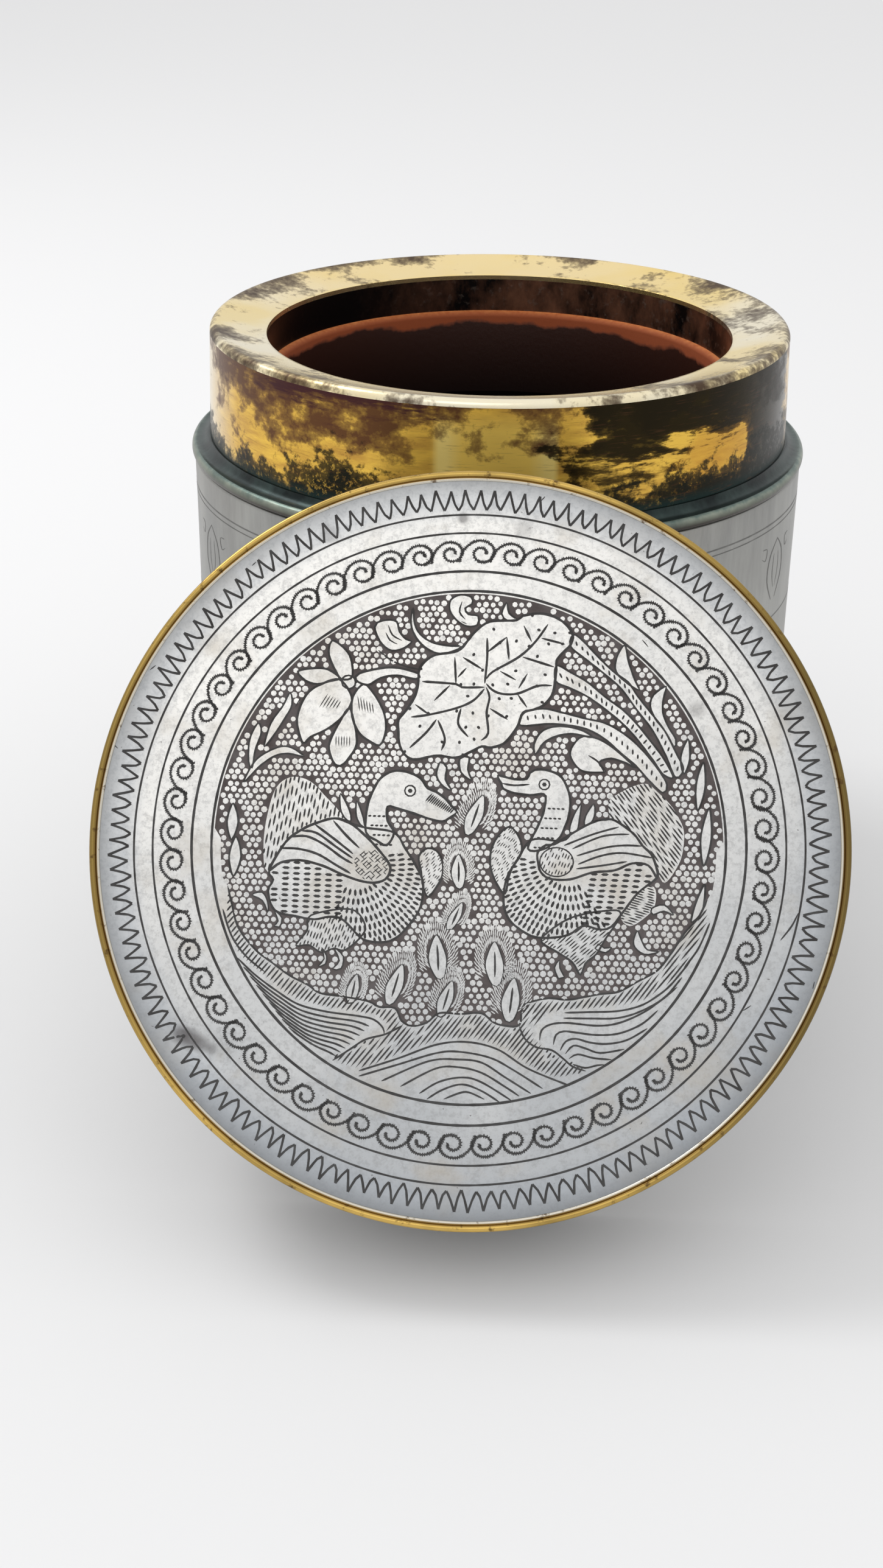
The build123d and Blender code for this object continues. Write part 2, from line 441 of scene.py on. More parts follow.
def make_rim_brass(radius):
    """The pale, rubbed brass of the collar's dished top, with stains along its outer edge."""
    material, tree, shader = start_finish("rim_brass")
    where = place_of(tree)
    broad = clouds(tree, where, 0.10, 7.0, 0.64, seed=2.0)
    fine = clouds(tree, where, 0.9, 5.0, 0.6, seed=11.0)
    edge = span(tree, distance_out(tree, where), radius - 6.5, radius)
    tint = ramp(tree, clouds(tree, where, 0.05, 3.0, 0.5, seed=41.0), ((0.40, 0.0), (0.62, 1.0)))
    base = blend_colours(tree, tint, (0.92, 0.84, 0.64), (0.90, 0.72, 0.34))
    behind = span(tree, axis_of(tree, where, "Y"), 5.0, 34.0)
    base = blend_colours(tree, times(tree, behind, 0.6), base, (0.92, 0.66, 0.20))
    worn = plus(tree, broad, scaled(tree, fine, 0.34, -0.17))
    worn = plus(tree, worn, scaled(tree, edge, 0.16, -0.06))
    side = reckon(tree, "ABSOLUTE", axis_of(tree, where, "X"))
    worn = plus(tree, worn, scaled(tree, span(tree, side, 8.0, 44.0), 0.05, -0.02))
    worn = minus(
        tree, worn, scaled(tree, span(tree, axis_of(tree, where, "Y"), -30.0, -46.0), 0.10),
    )
    amount = ramp(tree, worn, ((0.49, 0.0), (0.555, 0.55), (0.61, 0.80), (0.70, 0.97)))
    base = blend_colours(tree, amount, base, (0.070, 0.040, 0.026))
    settle(tree, shader, base, 0.92, scaled(tree, amount, 0.22, 0.24))
    roughen(tree, shader, fine, 0.3, 0.00008)
    return material


rim_brass = make_rim_brass(collar_radius)
print("dished top", rim_brass.name)

# %% [markdown]
# The mouth's lining is painted nearly black. Towards the right, a brown cloud and a few grey spots
# show that it is brass.
# %% The mouth's brass


def make_mouth_brass():
    """The mouth's lining, nearly black, with brown and grey towards the right."""
    material, tree, shader = start_finish("mouth_brass")
    where = place_of(tree)
    broad = ramp(
        tree, clouds(tree, where, 0.12, 6.0, 0.64, (1, 1, 0.6)), ((0.42, 0.0), (0.66, 1.0)),
    )
    right = span(tree, axis_of(tree, where, "X"), -24.0, 8.0)
    base = blend_colours(tree, times(tree, broad, right), (0.012, 0.009, 0.009), (0.42, 0.19, 0.11))
    fine = ramp(tree, clouds(tree, where, 0.8, 5.0, 0.6, seed=5.0), ((0.56, 0.0), (0.70, 0.55)))
    base = blend_colours(tree, times(tree, fine, right), base, (0.32, 0.26, 0.22))
    settle(tree, shader, base, 0.8, 0.30)
    roughen(tree, shader, fine, 0.3, 0.00008)
    return material


mouth_brass = make_mouth_brass()
print("mouth", mouth_brass.name)

# %% [markdown]
# The binding round the lid is one thin wire of brass with a groove in it. The groove and the side
# facing down are darkened as painted shade, its left and right sides are darkened as painted
# reflections, and the inner ridge is rubbed as pale as the pewter.
# %% The binding's brass


def make_bead_brass(radius):
    """The lid's binding: a gold ridge, a groove browned as painted shade, and a pale line next to
    the pewter.
    """
    material, tree, shader = start_finish("bead_brass")
    where = place_of(tree)
    broad = ramp(tree, clouds(tree, where, 0.05, 4.0, 0.6), ((0.42, 0.0), (0.66, 0.7)))
    # Painted reflections: the left and right sides are darkened.
    right = scaled(tree, span(tree, axis_of(tree, where, "X"), 12.0, 44.0), 0.9)
    left = scaled(tree, span(tree, axis_of(tree, where, "X"), -34.0, -48.0), 0.7)
    painted_side_reflections = larger(tree, left, right)
    base = blend_colours(tree, larger(tree, broad, painted_side_reflections), (0.66, 0.44, 0.12), (0.12, 0.085, 0.030))
    out = distance_out(tree, where)
    # Painted shade in the groove.
    groove = window(tree, out, radius - 1.02, radius - 0.86, radius - 0.60, radius - 0.42)
    base = blend_colours(tree, times(tree, groove, 0.7), base, (0.16, 0.085, 0.02))
    base = blend_colours(
        tree, span(tree, out, radius - 0.82, radius - 0.98), base, (0.62, 0.58, 0.50),
    )
    # Painted shade on the side facing down.
    painted_shade_below = span(tree, axis_of(tree, where, "Z"), -0.15, -0.75)
    base = blend_colours(tree, painted_shade_below, base, (0.07, 0.045, 0.02))
    fine = ramp(tree, clouds(tree, where, 0.7, 4.0, 0.6, seed=5.0), ((0.60, 0.0), (0.70, 0.85)))
    base = blend_colours(tree, fine, base, (0.10, 0.055, 0.02))
    settle(tree, shader, base, 0.95, 0.24)
    roughen(tree, shader, fine, 0.2, 0.00005)
    return material


bead_radius = 49.96
bead_brass = make_bead_brass(bead_radius)
print("binding", bead_radius, "mm")

# %% [markdown]
# The ledge round the collar is pewter that never gets wiped: green-black in the hollow, and rubbed
# back to a pale grey-green on the lip. One ramp from the collar outwards gives that, and painted
# shade darkens the underside of the lip.
# %% The ledge's pewter


def make_ledge(inner, outer, crown):
    """Green-black hollow, pale verdigris lip, painted brown shade under it; all in millimetres."""
    material, tree, shader = start_finish("ledge_pewter")
    where = place_of(tree)
    mottle = clouds(tree, where, 0.45, 6.0, 0.66)
    out = plus(
        tree, span(tree, distance_out(tree, where), inner, outer), scaled(tree, mottle, 0.5, -0.25),
    )
    base = ramp(
        tree, out,
        (
            (0.0, (0.006, 0.009, 0.009)), (0.42, (0.013, 0.024, 0.024)),
            (0.66, (0.040, 0.068, 0.062)), (0.82, (0.15, 0.20, 0.175)), (0.96, (0.30, 0.33, 0.27)),
        ),
    )
    light = ramp(tree, clouds(tree, where, 0.14, 5.0, 0.6, seed=8.0), ((0.42, 0.0), (0.66, 0.6)))
    base = blend_colours(tree, light, base, (0.055, 0.085, 0.078))
    # Painted shade under the lip.
    painted_shade_below = span(tree, axis_of(tree, where, "Z"), crown, crown - 1.0)
    base = blend_colours(tree, painted_shade_below, base, (0.045, 0.038, 0.030))
    settle(tree, shader, base, 0.72, 0.33)
    roughen(tree, shader, mottle, 0.4, 0.00012)
    return material


ledge_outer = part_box("shoulder_ring")[1][0] / MM
ledge_pewter = make_ledge(collar_radius, ledge_outer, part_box("shoulder_ring")[0][2] / MM + 1.6)
print("ledge", round(ledge_outer - collar_radius, 2), "mm wide")

# %% [markdown]
# The liner is red pottery. Its rim was left bare and is orange, and below it a dark brown glaze
# ends in an uneven line, which a slow noise moves up and down. The rim's inner curve and the glaze
# deep in the jar are darkened as painted shade.
# %% The liner's redware


def make_redware(rim_level, glaze_depth, mouth):
    """Bare orange rim above a dark glaze, with painted shade on the rim's inner curve and deep in
    the jar; the rim's level and radius in millimetres.
    """
    material, tree, shader = start_finish("redware")
    where = place_of(tree)
    wander = clouds(tree, where, 0.075, 5.0, 0.6)
    below = minus(tree, rim_level, axis_of(tree, where, "Z"))
    depth = plus(tree, below, scaled(tree, wander, -6.0, 3.0))
    glazed = span(tree, depth, glaze_depth - 0.35, glaze_depth + 0.35)
    grain = clouds(tree, where, 1.1, 5.0, 0.6, seed=4.0)
    clay = blend_colours(
        tree, ramp(tree, grain, ((0.3, 0.0), (0.75, 1.0))), (0.45, 0.11, 0.022), (0.70, 0.25, 0.07),
    )
    # Painted shade on the rim's inner curve.
    edge = span(tree, distance_out(tree, where), mouth - 0.2, mouth - 0.95)
    clay = blend_colours(tree, edge, clay, (0.30, 0.060, 0.012))
    # Painted shade: the glaze is darker deeper in the jar.
    painted_light_near_rim = span(tree, below, 16.0, 2.0)
    glaze = blend_colours(tree, painted_light_near_rim, (0.006, 0.0025, 0.002), (0.030, 0.007, 0.003))
    gloss = scaled(tree, glazed, -0.40, 0.78)
    settle(tree, shader, blend_colours(tree, glazed, clay, glaze), 0.0, gloss)
    roughen(tree, shader, grain, 0.35, 0.0001)
    return material


mouth_radius = 37.35
bare_rim_depth = 1.9
rim_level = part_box("liner")[1][2] / MM
redware = make_redware(rim_level, bare_rim_depth, mouth_radius)
print("liner rim at", round(rim_level, 1), "mm")

# %% [markdown]
# Nearly every piece here was spun or turned, so it has a section: a closed line of radius and
# height in millimetres. Its round stretches are arcs through three points, which is how such a
# form is measured on the real piece.
# %% The arc of a section


def arc(start, middle, end, count=8):
    """Points of the arc through three points, without its start."""
    (ax, ay), (bx, by), (cx, cy) = start, middle, end
    twice = 2 * (ax * (by - cy) + bx * (cy - ay) + cx * (ay - by))
    a2, b2, c2 = ax * ax + ay * ay, bx * bx + by * by, cx * cx + cy * cy
    ox = (a2 * (by - cy) + b2 * (cy - ay) + c2 * (ay - by)) / twice
    oy = (a2 * (cx - bx) + b2 * (ax - cx) + c2 * (bx - ax)) / twice
    radius = math.hypot(ax - ox, ay - oy)
    first, mid, last = (math.atan2(y - oy, x - ox) for x, y in (start, middle, end))
    turn = (last - first) % math.tau
    if (mid - first) % math.tau > turn:
        turn -= math.tau
    return [
        (
            ox + radius * math.cos(first + turn * k / count),
            oy + radius * math.sin(first + turn * k / count),
        )
        for k in range(1, count + 1)
    ]


print("a quarter round in", len(arc((1, 0), (0.7071, 0.7071), (0, 1))), "steps")

# %% [markdown]
# A piece is a mesh made straight from points and faces. Each point also keeps its place on the
# piece, before the piece is stood where it belongs. Then the piece is given its finish, is told
# which body it rides on, and hides the imported pieces it stands for.
# %% Finishing a piece


def write_place(mesh, places):
    """Keep each point's own place on the piece, in millimetres."""
    layer = mesh.attributes.new("place", "FLOAT_VECTOR", "POINT")
    for item, place in zip(layer.data, places):
        item.vector = place


def finish_piece(name, points, faces, places, stand, finish, body, nodes=(), sharp=35):
    """A named piece from its points, dressed and set to ride on a body."""
    mesh = bpy.data.meshes.new(name)
    mesh.from_pydata([stand @ (Vector(point) * MM) for point in points], [], faces)
    mesh.validate()
    write_place(mesh, places)
    mesh.shade_smooth()
    mesh.set_sharp_from_angle(angle=math.radians(sharp))
    mesh.materials.append(finish)
    piece = bpy.data.objects.new(name, mesh)
    bpy.context.scene.collection.objects.link(piece)
    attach(piece, body)
    if nodes:
        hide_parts(*nodes)
    print(name, len(mesh.polygons), "faces")


# %% [markdown]
# The section is swept round its axis, as a chuck turns the metal against the tool. Hand work
# is never true, so a piece may also wander by a few hundredths of a millimetre, which bends
# its reflections as the real metal does.
# %% Turning a section


def turned(
    name, section, finish, body, nodes=(), stand=Matrix.Identity(4), steps=240, wander=0.0,
    shape=None,
):
    """Sweep a closed section round the stand's own axis."""
    points, rows = [], []
    for radius, height in section:
        row = []
        for step in range(steps if radius > 1e-6 else 1):
            angle = math.tau * step / steps
            out = Vector((math.cos(angle), math.sin(angle), 0))
            off = noise.noise(out * 2.3 + Vector((0, 0, height * 0.05 + len(name)))) * wander
            point = out * (radius + (off if radius > 1e-6 else 0)) + Vector((0, 0, height))
            if shape:
                point.z += shape(point.x, point.y, height)
            row.append(len(points))
            points.append(point)
        rows.append(row)
    faces = []
    for low, high in zip(rows, rows[1:] + rows[:1]):
        for step in range(steps):
            after = (step + 1) % steps
            if len(low) == 1 and len(high) == 1:
                break
            if len(low) == 1:
                faces.append((low[0], high[after], high[step]))
            elif len(high) == 1:
                faces.append((low[step], low[after], high[0]))
            else:
                faces.append((low[step], low[after], high[after], high[step]))
    places = [tuple(point) for point in points]
    finish_piece(name, points, faces, places, stand, finish, body, nodes)


print("turned pieces are swept in 240 steps unless said")

# %% [markdown]
# Two imported pieces are seen as they are: the lid's side and the tin's base. Both are given the
# darker pewter, whose darkness is painted shade. The other imported pieces are dressed too, in the
# finish of their kind.
# %% Finishes of the imported pieces
for node_name, finish in (
    ("base_plate", shade_painted_pewter), ("lid_skirt", shade_painted_pewter), ("body_wall", shade_painted_pewter),
    ("shoulder_ring", shade_painted_pewter), ("lid_top", shade_painted_pewter), ("collar_sleeve", collar_brass),
    ("collar_top", rim_brass), ("mouth_sleeve", mouth_brass), ("lid_bead", bead_brass),
    ("liner", redware),
):
    packed = bpy.data.objects[node_name]
    packed.data.materials.clear()
    packed.data.materials.append(finish)
print("packed pieces dressed")

# %% [markdown]
# The tin is dressed from the table up. Its wall is a pewter tube, eased at foot and shoulder
# where a file broke the edge. It has more rows than it needs, so that its slow wander shows.
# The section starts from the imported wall's own box, so the dressed piece stays in its place.
# %% The wall
wall_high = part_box("body_wall")[1]
wall_radius = wall_high[0] / MM
wall_top = wall_high[2] / MM
wall_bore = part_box("base_plate")[1][0] / MM
edge_ease = 0.5
ease_bow = 0.15
wall_wander = 0.10


def wall_section():
    """The tube, eased at foot and shoulder, in enough rows for its wander."""
    rows = 14
    section = [(wall_bore, 0.0), (wall_radius - edge_ease, 0.0)]
    section += arc(section[-1], (wall_radius - ease_bow, ease_bow), (wall_radius, edge_ease), 4)
    section += [
        (wall_radius, edge_ease + (wall_top - 2 * edge_ease) * k / rows) for k in range(1, rows)
    ]
    section.append((wall_radius, wall_top - edge_ease))
    shoulder = (wall_radius - edge_ease, wall_top)
    section += arc(section[-1], (wall_radius - ease_bow, wall_top - ease_bow), shoulder, 4)
    section.append((wall_bore, wall_top))
    return section


turned(
    "wall_dressed", wall_section(), wall_pewter, "tin", ["body_wall"], wander=wall_wander,
)

# %% [markdown]
# The ledge is where the closed lid would come down. It has a rounded lip, then a hollow that
# sweeps up to the collar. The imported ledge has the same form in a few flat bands, and here the
# rounds are full.
# %% The ledge
lip_level = wall_top + 1.1


def ledge_section():
    """Rounded lip, then a hollow that sweeps up to the collar."""
    foot = (wall_radius - 0.3, wall_top)
    lip = arc(
        foot, (ledge_outer - 0.05, lip_level - 0.1), (ledge_outer - 0.75, lip_level + 0.8), 12,
    )
    top = (collar_radius + 0.2, lip_level + 2.1)
    hollow = arc(lip[-1], (collar_radius + 0.75, lip_level + 1.05), top, 10)
    return [(collar_radius, wall_top), foot] + lip + hollow + [(collar_radius, lip_level + 2.1)]


turned(
    "ledge_dressed", ledge_section(), ledge_pewter, "tin", ["shoulder_ring"], wander=0.05,
)

# %% [markdown]
# The collar is a strip of brass bent into a ring. It isn't quite a cylinder: it draws in by
# about half a millimetre towards its top, where the dished piece was pressed in.
# %% The collar
brass_sheet = 0.8
roll = 1.1
collar_draw_in = 0.55
collar_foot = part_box("collar_sleeve")[0][2] / MM


def collar_section():
    """The upright wall in rows, drawn in a little towards the top."""
    rows = 16
    top = collar_high - roll
    section = [(collar_radius - brass_sheet, collar_foot)]
    for k in range(rows + 1):
        level = collar_foot + (top - collar_foot) * k / rows
        share = max(0.0, (level - lip_level) / (top - lip_level))
        section.append((collar_radius - collar_draw_in * share ** 1.5, level))
    return section + [(collar_radius - collar_draw_in - brass_sheet, top)]


turned(
    "collar_dressed", collar_section(), collar_brass, "tin", ["collar_sleeve"],
    wander=0.07,
)

# %% [markdown]
# The dished top closes the collar. It starts with a rolled outer edge, comes to a narrow crest
# and sinks to the mouth, whose edge is sharp because the metal was cut there.
# %% The dished top
dish_depth = 1.85
dish_middle = (41.8, collar_high - 1.0)
arc_middle = roll * 0.29


def rim_section():
    """Round outer edge, narrow crest, then the dish down to the mouth's sharp edge."""
    outside = collar_radius - collar_draw_in
    mouth_level = collar_high - dish_depth
    section = [(outside, collar_high - roll)]
    section += arc(
        section[-1], (outside - arc_middle, collar_high - arc_middle),
        (outside - roll, collar_high), 10,
    )
    section += arc(section[-1], dish_middle, (mouth_radius + 0.12, mouth_level), 16)
    section.append((mouth_radius, mouth_level - 0.10))
    section.append((mouth_radius, mouth_level - brass_sheet))
    section.append((outside - roll, collar_high - roll - 0.05))
    return section


turned("rim_dressed", rim_section(), rim_brass, "tin", ["collar_top"], wander=0.05)

# %% [markdown]
# A short brass tube lines the mouth, from the dished top down to the pottery. It is plain, so
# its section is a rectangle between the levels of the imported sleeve.
# %% The mouth's lining
sleeve_low, sleeve_high = (corner[2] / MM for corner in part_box("mouth_sleeve"))
sleeve_section = [
    (mouth_radius, sleeve_low), (mouth_radius + brass_sheet, sleeve_low),
    (mouth_radius + brass_sheet, sleeve_high), (mouth_radius, sleeve_high),
]
turned("mouth_dressed", sleeve_section, mouth_brass, "tin", ["mouth_sleeve"])

# %% [markdown]
# The liner was thrown on a wheel: a flat floor, straight sides, a shoulder drawn in to a neck,
# and a rim rounded with a wet finger. Only its rim and the dark inside are seen, so the rest
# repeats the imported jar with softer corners.
# %% The liner
jar_radius = 47.3
jar_bore = 43.7
jar_floor = 5.6
neck_radius = 41.0
neck_level = 77.0


def liner_section():
    """The thrown jar, with a rounded rim a little inside the brass."""
    neck_in = mouth_radius - 0.95
    section = [(0, jar_floor), (0, 1.6), (jar_radius, 1.6), (jar_radius, 66.0)]
    section += arc(section[-1], (45.6, 71.8), (neck_radius, neck_level), 8)
    section += [(neck_radius, rim_level), (mouth_radius, rim_level)]
    section += arc(section[-1], (neck_in + 0.3, rim_level - 0.3), (neck_in, rim_level - 0.95), 6)
    section.append((neck_in, neck_level))
    section += arc(section[-1], (41.6, 69.4), (jar_bore, 62.4), 8)
    section.append((jar_bore, jar_floor + 3.0))
    section += arc(section[-1], (jar_bore - 0.88, jar_floor + 0.88), (jar_bore - 3.0, jar_floor), 5)
    return section


turned("liner_dressed", liner_section(), redware, "tin", ["liner"], steps=160)

# %% [markdown]
# The lid leans back against the collar. Its own frame has its origin at the middle of the
# engraved face: across to the right, up the face, and out of it. The lean repeats the packed
# tin's, where the open edge stands on the table and its top is a hair away from the collar.
# %% The lid's frame
lean = math.radians(32.3)
lean_turn = math.radians(5.0)
lid_depth = 20.8
lean_gap = 0.3
toward = Vector((-math.sin(lean_turn), -math.cos(lean_turn), 0))
lid_out = toward * math.cos(lean) + Vector((0, 0, math.sin(lean)))
lid_right = Vector((math.cos(lean_turn), -math.sin(lean_turn), 0))
lid_up = lid_out.cross(lid_right)
edge_centre = toward * (collar_radius + lean_gap + wall_radius * math.sin(lean))
edge_centre += Vector((0, 0, wall_radius * math.cos(lean)))
face_centre = (edge_centre + lid_out * lid_depth) * MM
lid_axes = Matrix((lid_right, lid_up, lid_out)).transposed()
lid_stand = Matrix.Translation(face_centre) @ lid_axes.to_4x4()
print("lid face at", [round(value / MM, 1) for value in face_centre])

# %% [markdown]
# The lid's face has painted light and shade: its upper half is nearly white and its lower half
# blue-grey. Four stains are painted on by their place, and a dark smear by the dent is painted
# shade.
# %% The face's pewter
# The two ends of the face's painted light and shade.
face_painted_light = (0.90, 0.885, 0.85)
face_painted_shade = (0.50, 0.515, 0.53)
# Across, up, radius and strength: four stains, then the dent's dark smear, which is painted shade.
face_stains_and_dent_shade = (
    (-2.2, 43.6, 0.75, 0.6), (6.0, 42.4, 1.3, 0.3), (29.6, 19.0, 1.1, 0.35),
    (-20.0, 41.0, 1.2, 0.3), (-36.6, -26.3, 1.2, 0.7), (-35.4, -26.8, 1.3, 0.7),
    (-34.0, -27.4, 1.1, 0.6), (-32.6, -28.0, 0.8, 0.5),
)


def make_face_pewter():
    """Pewter with painted light and shade, lighter towards the top of the face."""
    material, tree, shader = start_finish("face_pewter")
    where = place_of(tree)
    # Painted light and shade: lighter towards the top, darker towards the bottom and the right.
    rise = span(tree, axis_of(tree, where, "Y"), -40.0, 18.0)
    rise = minus(tree, rise, scaled(tree, span(tree, axis_of(tree, where, "X"), 5.0, 45.0), 0.35))
    cloud = clouds(tree, where, 0.055, 5.0, 0.6)
    mixed = plus(tree, rise, scaled(tree, cloud, 0.9, -0.45), True)
    base = blend_colours(tree, mixed, face_painted_shade, face_painted_light)
    grain = ramp(tree, clouds(tree, where, 1.5, 4.0, 0.75, seed=61.0), ((0.36, 0.40), (0.54, 0.0)))
    base = blend_colours(tree, grain, base, (0.30, 0.30, 0.30))
    warm = ramp(tree, clouds(tree, where, 0.10, 4.0, 0.6, seed=13.0), ((0.52, 0.0), (0.72, 0.5)))
    base = blend_colours(tree, warm, base, (0.50, 0.44, 0.35))
    far = distance_out(tree, where)
    # Painted shade: the outer band turns blue-grey, and darker still next to the binding.
    base = blend_colours(
        tree, scaled(tree, span(tree, far, 43.0, 45.5), 0.5), base, (0.36, 0.39, 0.43),
    )
    base = blend_colours(
        tree, scaled(tree, span(tree, far, 46.5, 48.7), 0.50), base, (0.15, 0.155, 0.16),
    )
    pits = ramp(tree, clouds(tree, where, 1.5, 2.0, 0.6, seed=7.0), ((0.20, 0.8), (0.27, 0.0)))
    base = blend_colours(tree, pits, base, (0.09, 0.08, 0.07))
    # Four stains, then painted shade along the dent.
    for u, v, radius, depth in face_stains_and_dent_shade:
        away = add_node(tree, "ShaderNodeVectorMath", {"operation": "DISTANCE"})
        set_input(tree, away.inputs[0], where)
        away.inputs[1].default_value = (u, v, 0.0)
        spot = span(tree, away.outputs["Value"], radius * 1.35, radius * 0.55)
        base = blend_colours(tree, times(tree, spot, depth), base, (0.12, 0.11, 0.11))
    fine = clouds(tree, where, 1.3, 4.0, 0.65, stretch=(1, 0.35, 1), seed=3.0)
    settle(tree, shader, base, 0.72, scaled(tree, fine, 0.20, 0.34))
    swell = clouds(tree, where, 0.09, 3.0, 0.5, seed=23.0)
    height = plus(tree, times(tree, swell, 6.0), times(tree, fine, 0.22))
    roughen(tree, shader, height, 0.35, 0.0001)
    return material


face_pewter = make_face_pewter()
print("face", face_pewter.name)

# %% [markdown]
# An engraved line is seen by the dirt in it. Depth alone wouldn't show at this size, so a cut
# has a finish of its own: dark, uneven along its length, and lighter low on the face.
# %% The dirt in the cuts


def make_cut(name, colour, lighter, rough):
    """The dirt in a cut line, uneven along its length."""
    material, tree, shader = start_finish(name)
    where = place_of(tree)
    worn = ramp(tree, clouds(tree, where, 0.35, 5.0, 0.65), ((0.35, 0.0), (0.75, 1.0)))
    rise = span(tree, axis_of(tree, where, "Y"), 20.0, -34.0)
    amount = scaled(tree, worn, 0.7, times(tree, rise, 0.3), True)
    settle(tree, shader, blend_colours(tree, amount, colour, lighter), 0.35, rough)
    return material


cut_dark = make_cut("cut_dark", (0.022, 0.019, 0.018), (0.080, 0.080, 0.080), 0.55)
ground_dark = make_cut("ground_dark", (0.060, 0.045, 0.042), (0.150, 0.135, 0.135), 0.6)
print("cuts", cut_dark.name, "and", ground_dark.name)

# %% [markdown]
# A knock has dented the lid at the lower left, just inside its binding. The dent is a soft
# valley along a short line. It is a rule and not a sculpted shape, so the engraving over it
# can follow the same rule and bend with the metal.
# %% The dent
dent_from, dent_to = Vector((-37.0, -26.6, 0)), Vector((-31.5, -29.4, 0))
dent_depth = 0.42
dent_spread = 2.2


def dent(x, y, height=0.0):
    """How far the face is pushed in at a place, as a negative height."""
    if height < -0.5:
        return 0.0
    along = dent_to - dent_from
    share = max(0.0, min(1.0, (Vector((x, y, 0)) - dent_from).dot(along) / along.length_squared))
    away = (Vector((x, y, 0)) - dent_from - along * share).length / dent_spread
    return -dent_depth * math.exp(-away * away * 2.0)


print("dent", round(dent(*dent_from[:2]), 2), "mm deep")

# %% [markdown]
# The lid's top is a spun disc. Its rings of points are close together near the edge, where
# the dent is, and wide apart in the middle, which is flat. The engraving is laid on it later.
# %% The lid's plate
plate_radius = 48.75
plate_thickness = 1.6
face_rows = [2.0 * k for k in range(20)] + [39.0 + 0.65 * k for k in range(15)] + [plate_radius]
face_section = [(0, -plate_thickness)] + [(radius, 0.0) for radius in face_rows]
face_section.append((plate_radius, -plate_thickness))
turned(
    "lid_face", face_section, face_pewter, "lid", ["lid_top"], lid_stand, 360, shape=dent,
)

# %% [markdown]
# A thin brass binding holds the disc's edge: two small ridges with a groove between. It is
# turned as one piece, because a joint would be finer than anything the photo shows.
# %% The binding


def binding_section():
    """Side, outer ridge, groove and a thin inner ridge next to the pewter."""
    groove = (bead_radius - 0.66, 0.04)
    section = [
        (plate_radius, -plate_thickness), (wall_radius, -plate_thickness),
        (bead_radius - 0.04, -0.62),
    ]
    section += arc(section[-1], (bead_radius - 0.22, 0.27), groove, 8)
    section += arc(groove, (bead_radius - 0.98, 0.19), (plate_radius, 0.0), 5)
    return section


turned("lid_binding", binding_section(), bead_brass, "lid", ["lid_bead"], lid_stand, 300)

# %% [markdown]
# Engraving is drawn on the flat face, in millimetres from its middle. A figure is a light
# patch of metal left standing on the dark, punched ground, with dark lines cut round and over
# it. Cut into the mesh it would need millions of faces, so each kind of mark is a thin layer
# instead, a few hundredths of a millimetre over the metal.
# %% Layers of the engraving
ground_level = 0.006
halo_level = 0.009
figure_level = 0.012
figure_step = 0.0005
fringe_level = 0.026
cut_level = 0.030
cut_slope = 0.008
head_level = 0.034
random.seed(7)
print("the engraving stands", head_level, "mm high")

# %% [markdown]
# A graver leaves long curves that swell and thin. Each curve here goes smoothly through a few
# points, which are kept as a short text of across,up pairs, the way they were measured.
# %% Curves through points


def points_of(text):
    """Points from a short list of across,up pairs."""
    return [tuple(float(part) for part in pair.split(",")) for pair in text.split()]


def smooth(points, step=0.45, closed=False):
    """A smooth curve through the points, in short steps."""
    count = len(points)
    if count < 3 and not closed:
        (ax, ay), (bx, by) = points
        parts = max(2, round(math.hypot(bx - ax, by - ay) / step))
        return [(ax + (bx - ax) * k / parts, ay + (by - ay) * k / parts) for k in range(parts + 1)]
    curve = []
    for index in range(count if closed else count - 1):
        if closed:
            four = [points[(index + k) % count] for k in (-1, 0, 1, 2)]
        else:
            four = [points[max(0, min(count - 1, index + k))] for k in (-1, 0, 1, 2)]
        (bx, by), (cx, cy) = four[1:3]
        parts = max(1, round(math.hypot(cx - bx, cy - by) / step))
        for part in range(parts):
            t = part / parts
            weights = (
                (-t + 2 * t * t - t ** 3) / 2, (2 - 5 * t * t + 3 * t ** 3) / 2,
                (t + 4 * t * t - 3 * t ** 3) / 2, (t ** 3 - t * t) / 2,
            )
            curve.append(tuple(sum(w * p[k] for w, p in zip(weights, four)) for k in (0, 1)))
    if not closed:
        curve.append(points[-1])
    return curve


print("a hundred-millimetre line takes", len(smooth([(0, 0), (100, 0)])), "steps")

# %% [markdown]
# Two marks make up nearly all the work. A cut is a narrow ribbon along a curve, with a slight
# ridge and thin ends. A tick is one short push of the graver, pointed at both ends. Their
# widths vary a little, as a hand's do.
# %% Cuts and ticks


def new_sheet():
    """An empty list of points and faces, to be filled by one kind of mark."""
    return [], []


def cut(sheet, curve, width=0.26, closed=False, taper=1.2, level=cut_level):
    """A line along a curve: three points across, thinner at its ends."""
    points, faces = sheet
    count = len(curve)
    start = len(points)
    edge = level - cut_slope
    for index, (x, y) in enumerate(curve):
        ahead = curve[(index + 1) % count] if closed else curve[min(count - 1, index + 1)]
        back = curve[index - 1] if closed else curve[max(0, index - 1)]
        dx, dy = ahead[0] - back[0], ahead[1] - back[1]
        length = math.hypot(dx, dy) or 1.0
        half = width / 2 * (0.88 + 0.24 * random.random())
        if not closed and taper:
            end = min(index, count - 1 - index)
            half *= min(1.0, 0.30 + end * 0.45 / taper)
        nx, ny = -dy / length * half, dx / length * half
        drop = dent(x, y)
        points += [
            (x + nx, y + ny, edge + drop), (x, y, level + drop), (x - nx, y - ny, edge + drop),
        ]
    for index in range(count if closed else count - 1):
        low = start + index * 3
        high = start + ((index + 1) % count) * 3
        faces += [(low + 1, high + 1, high, low), (low + 2, high + 2, high + 1, low + 1)]


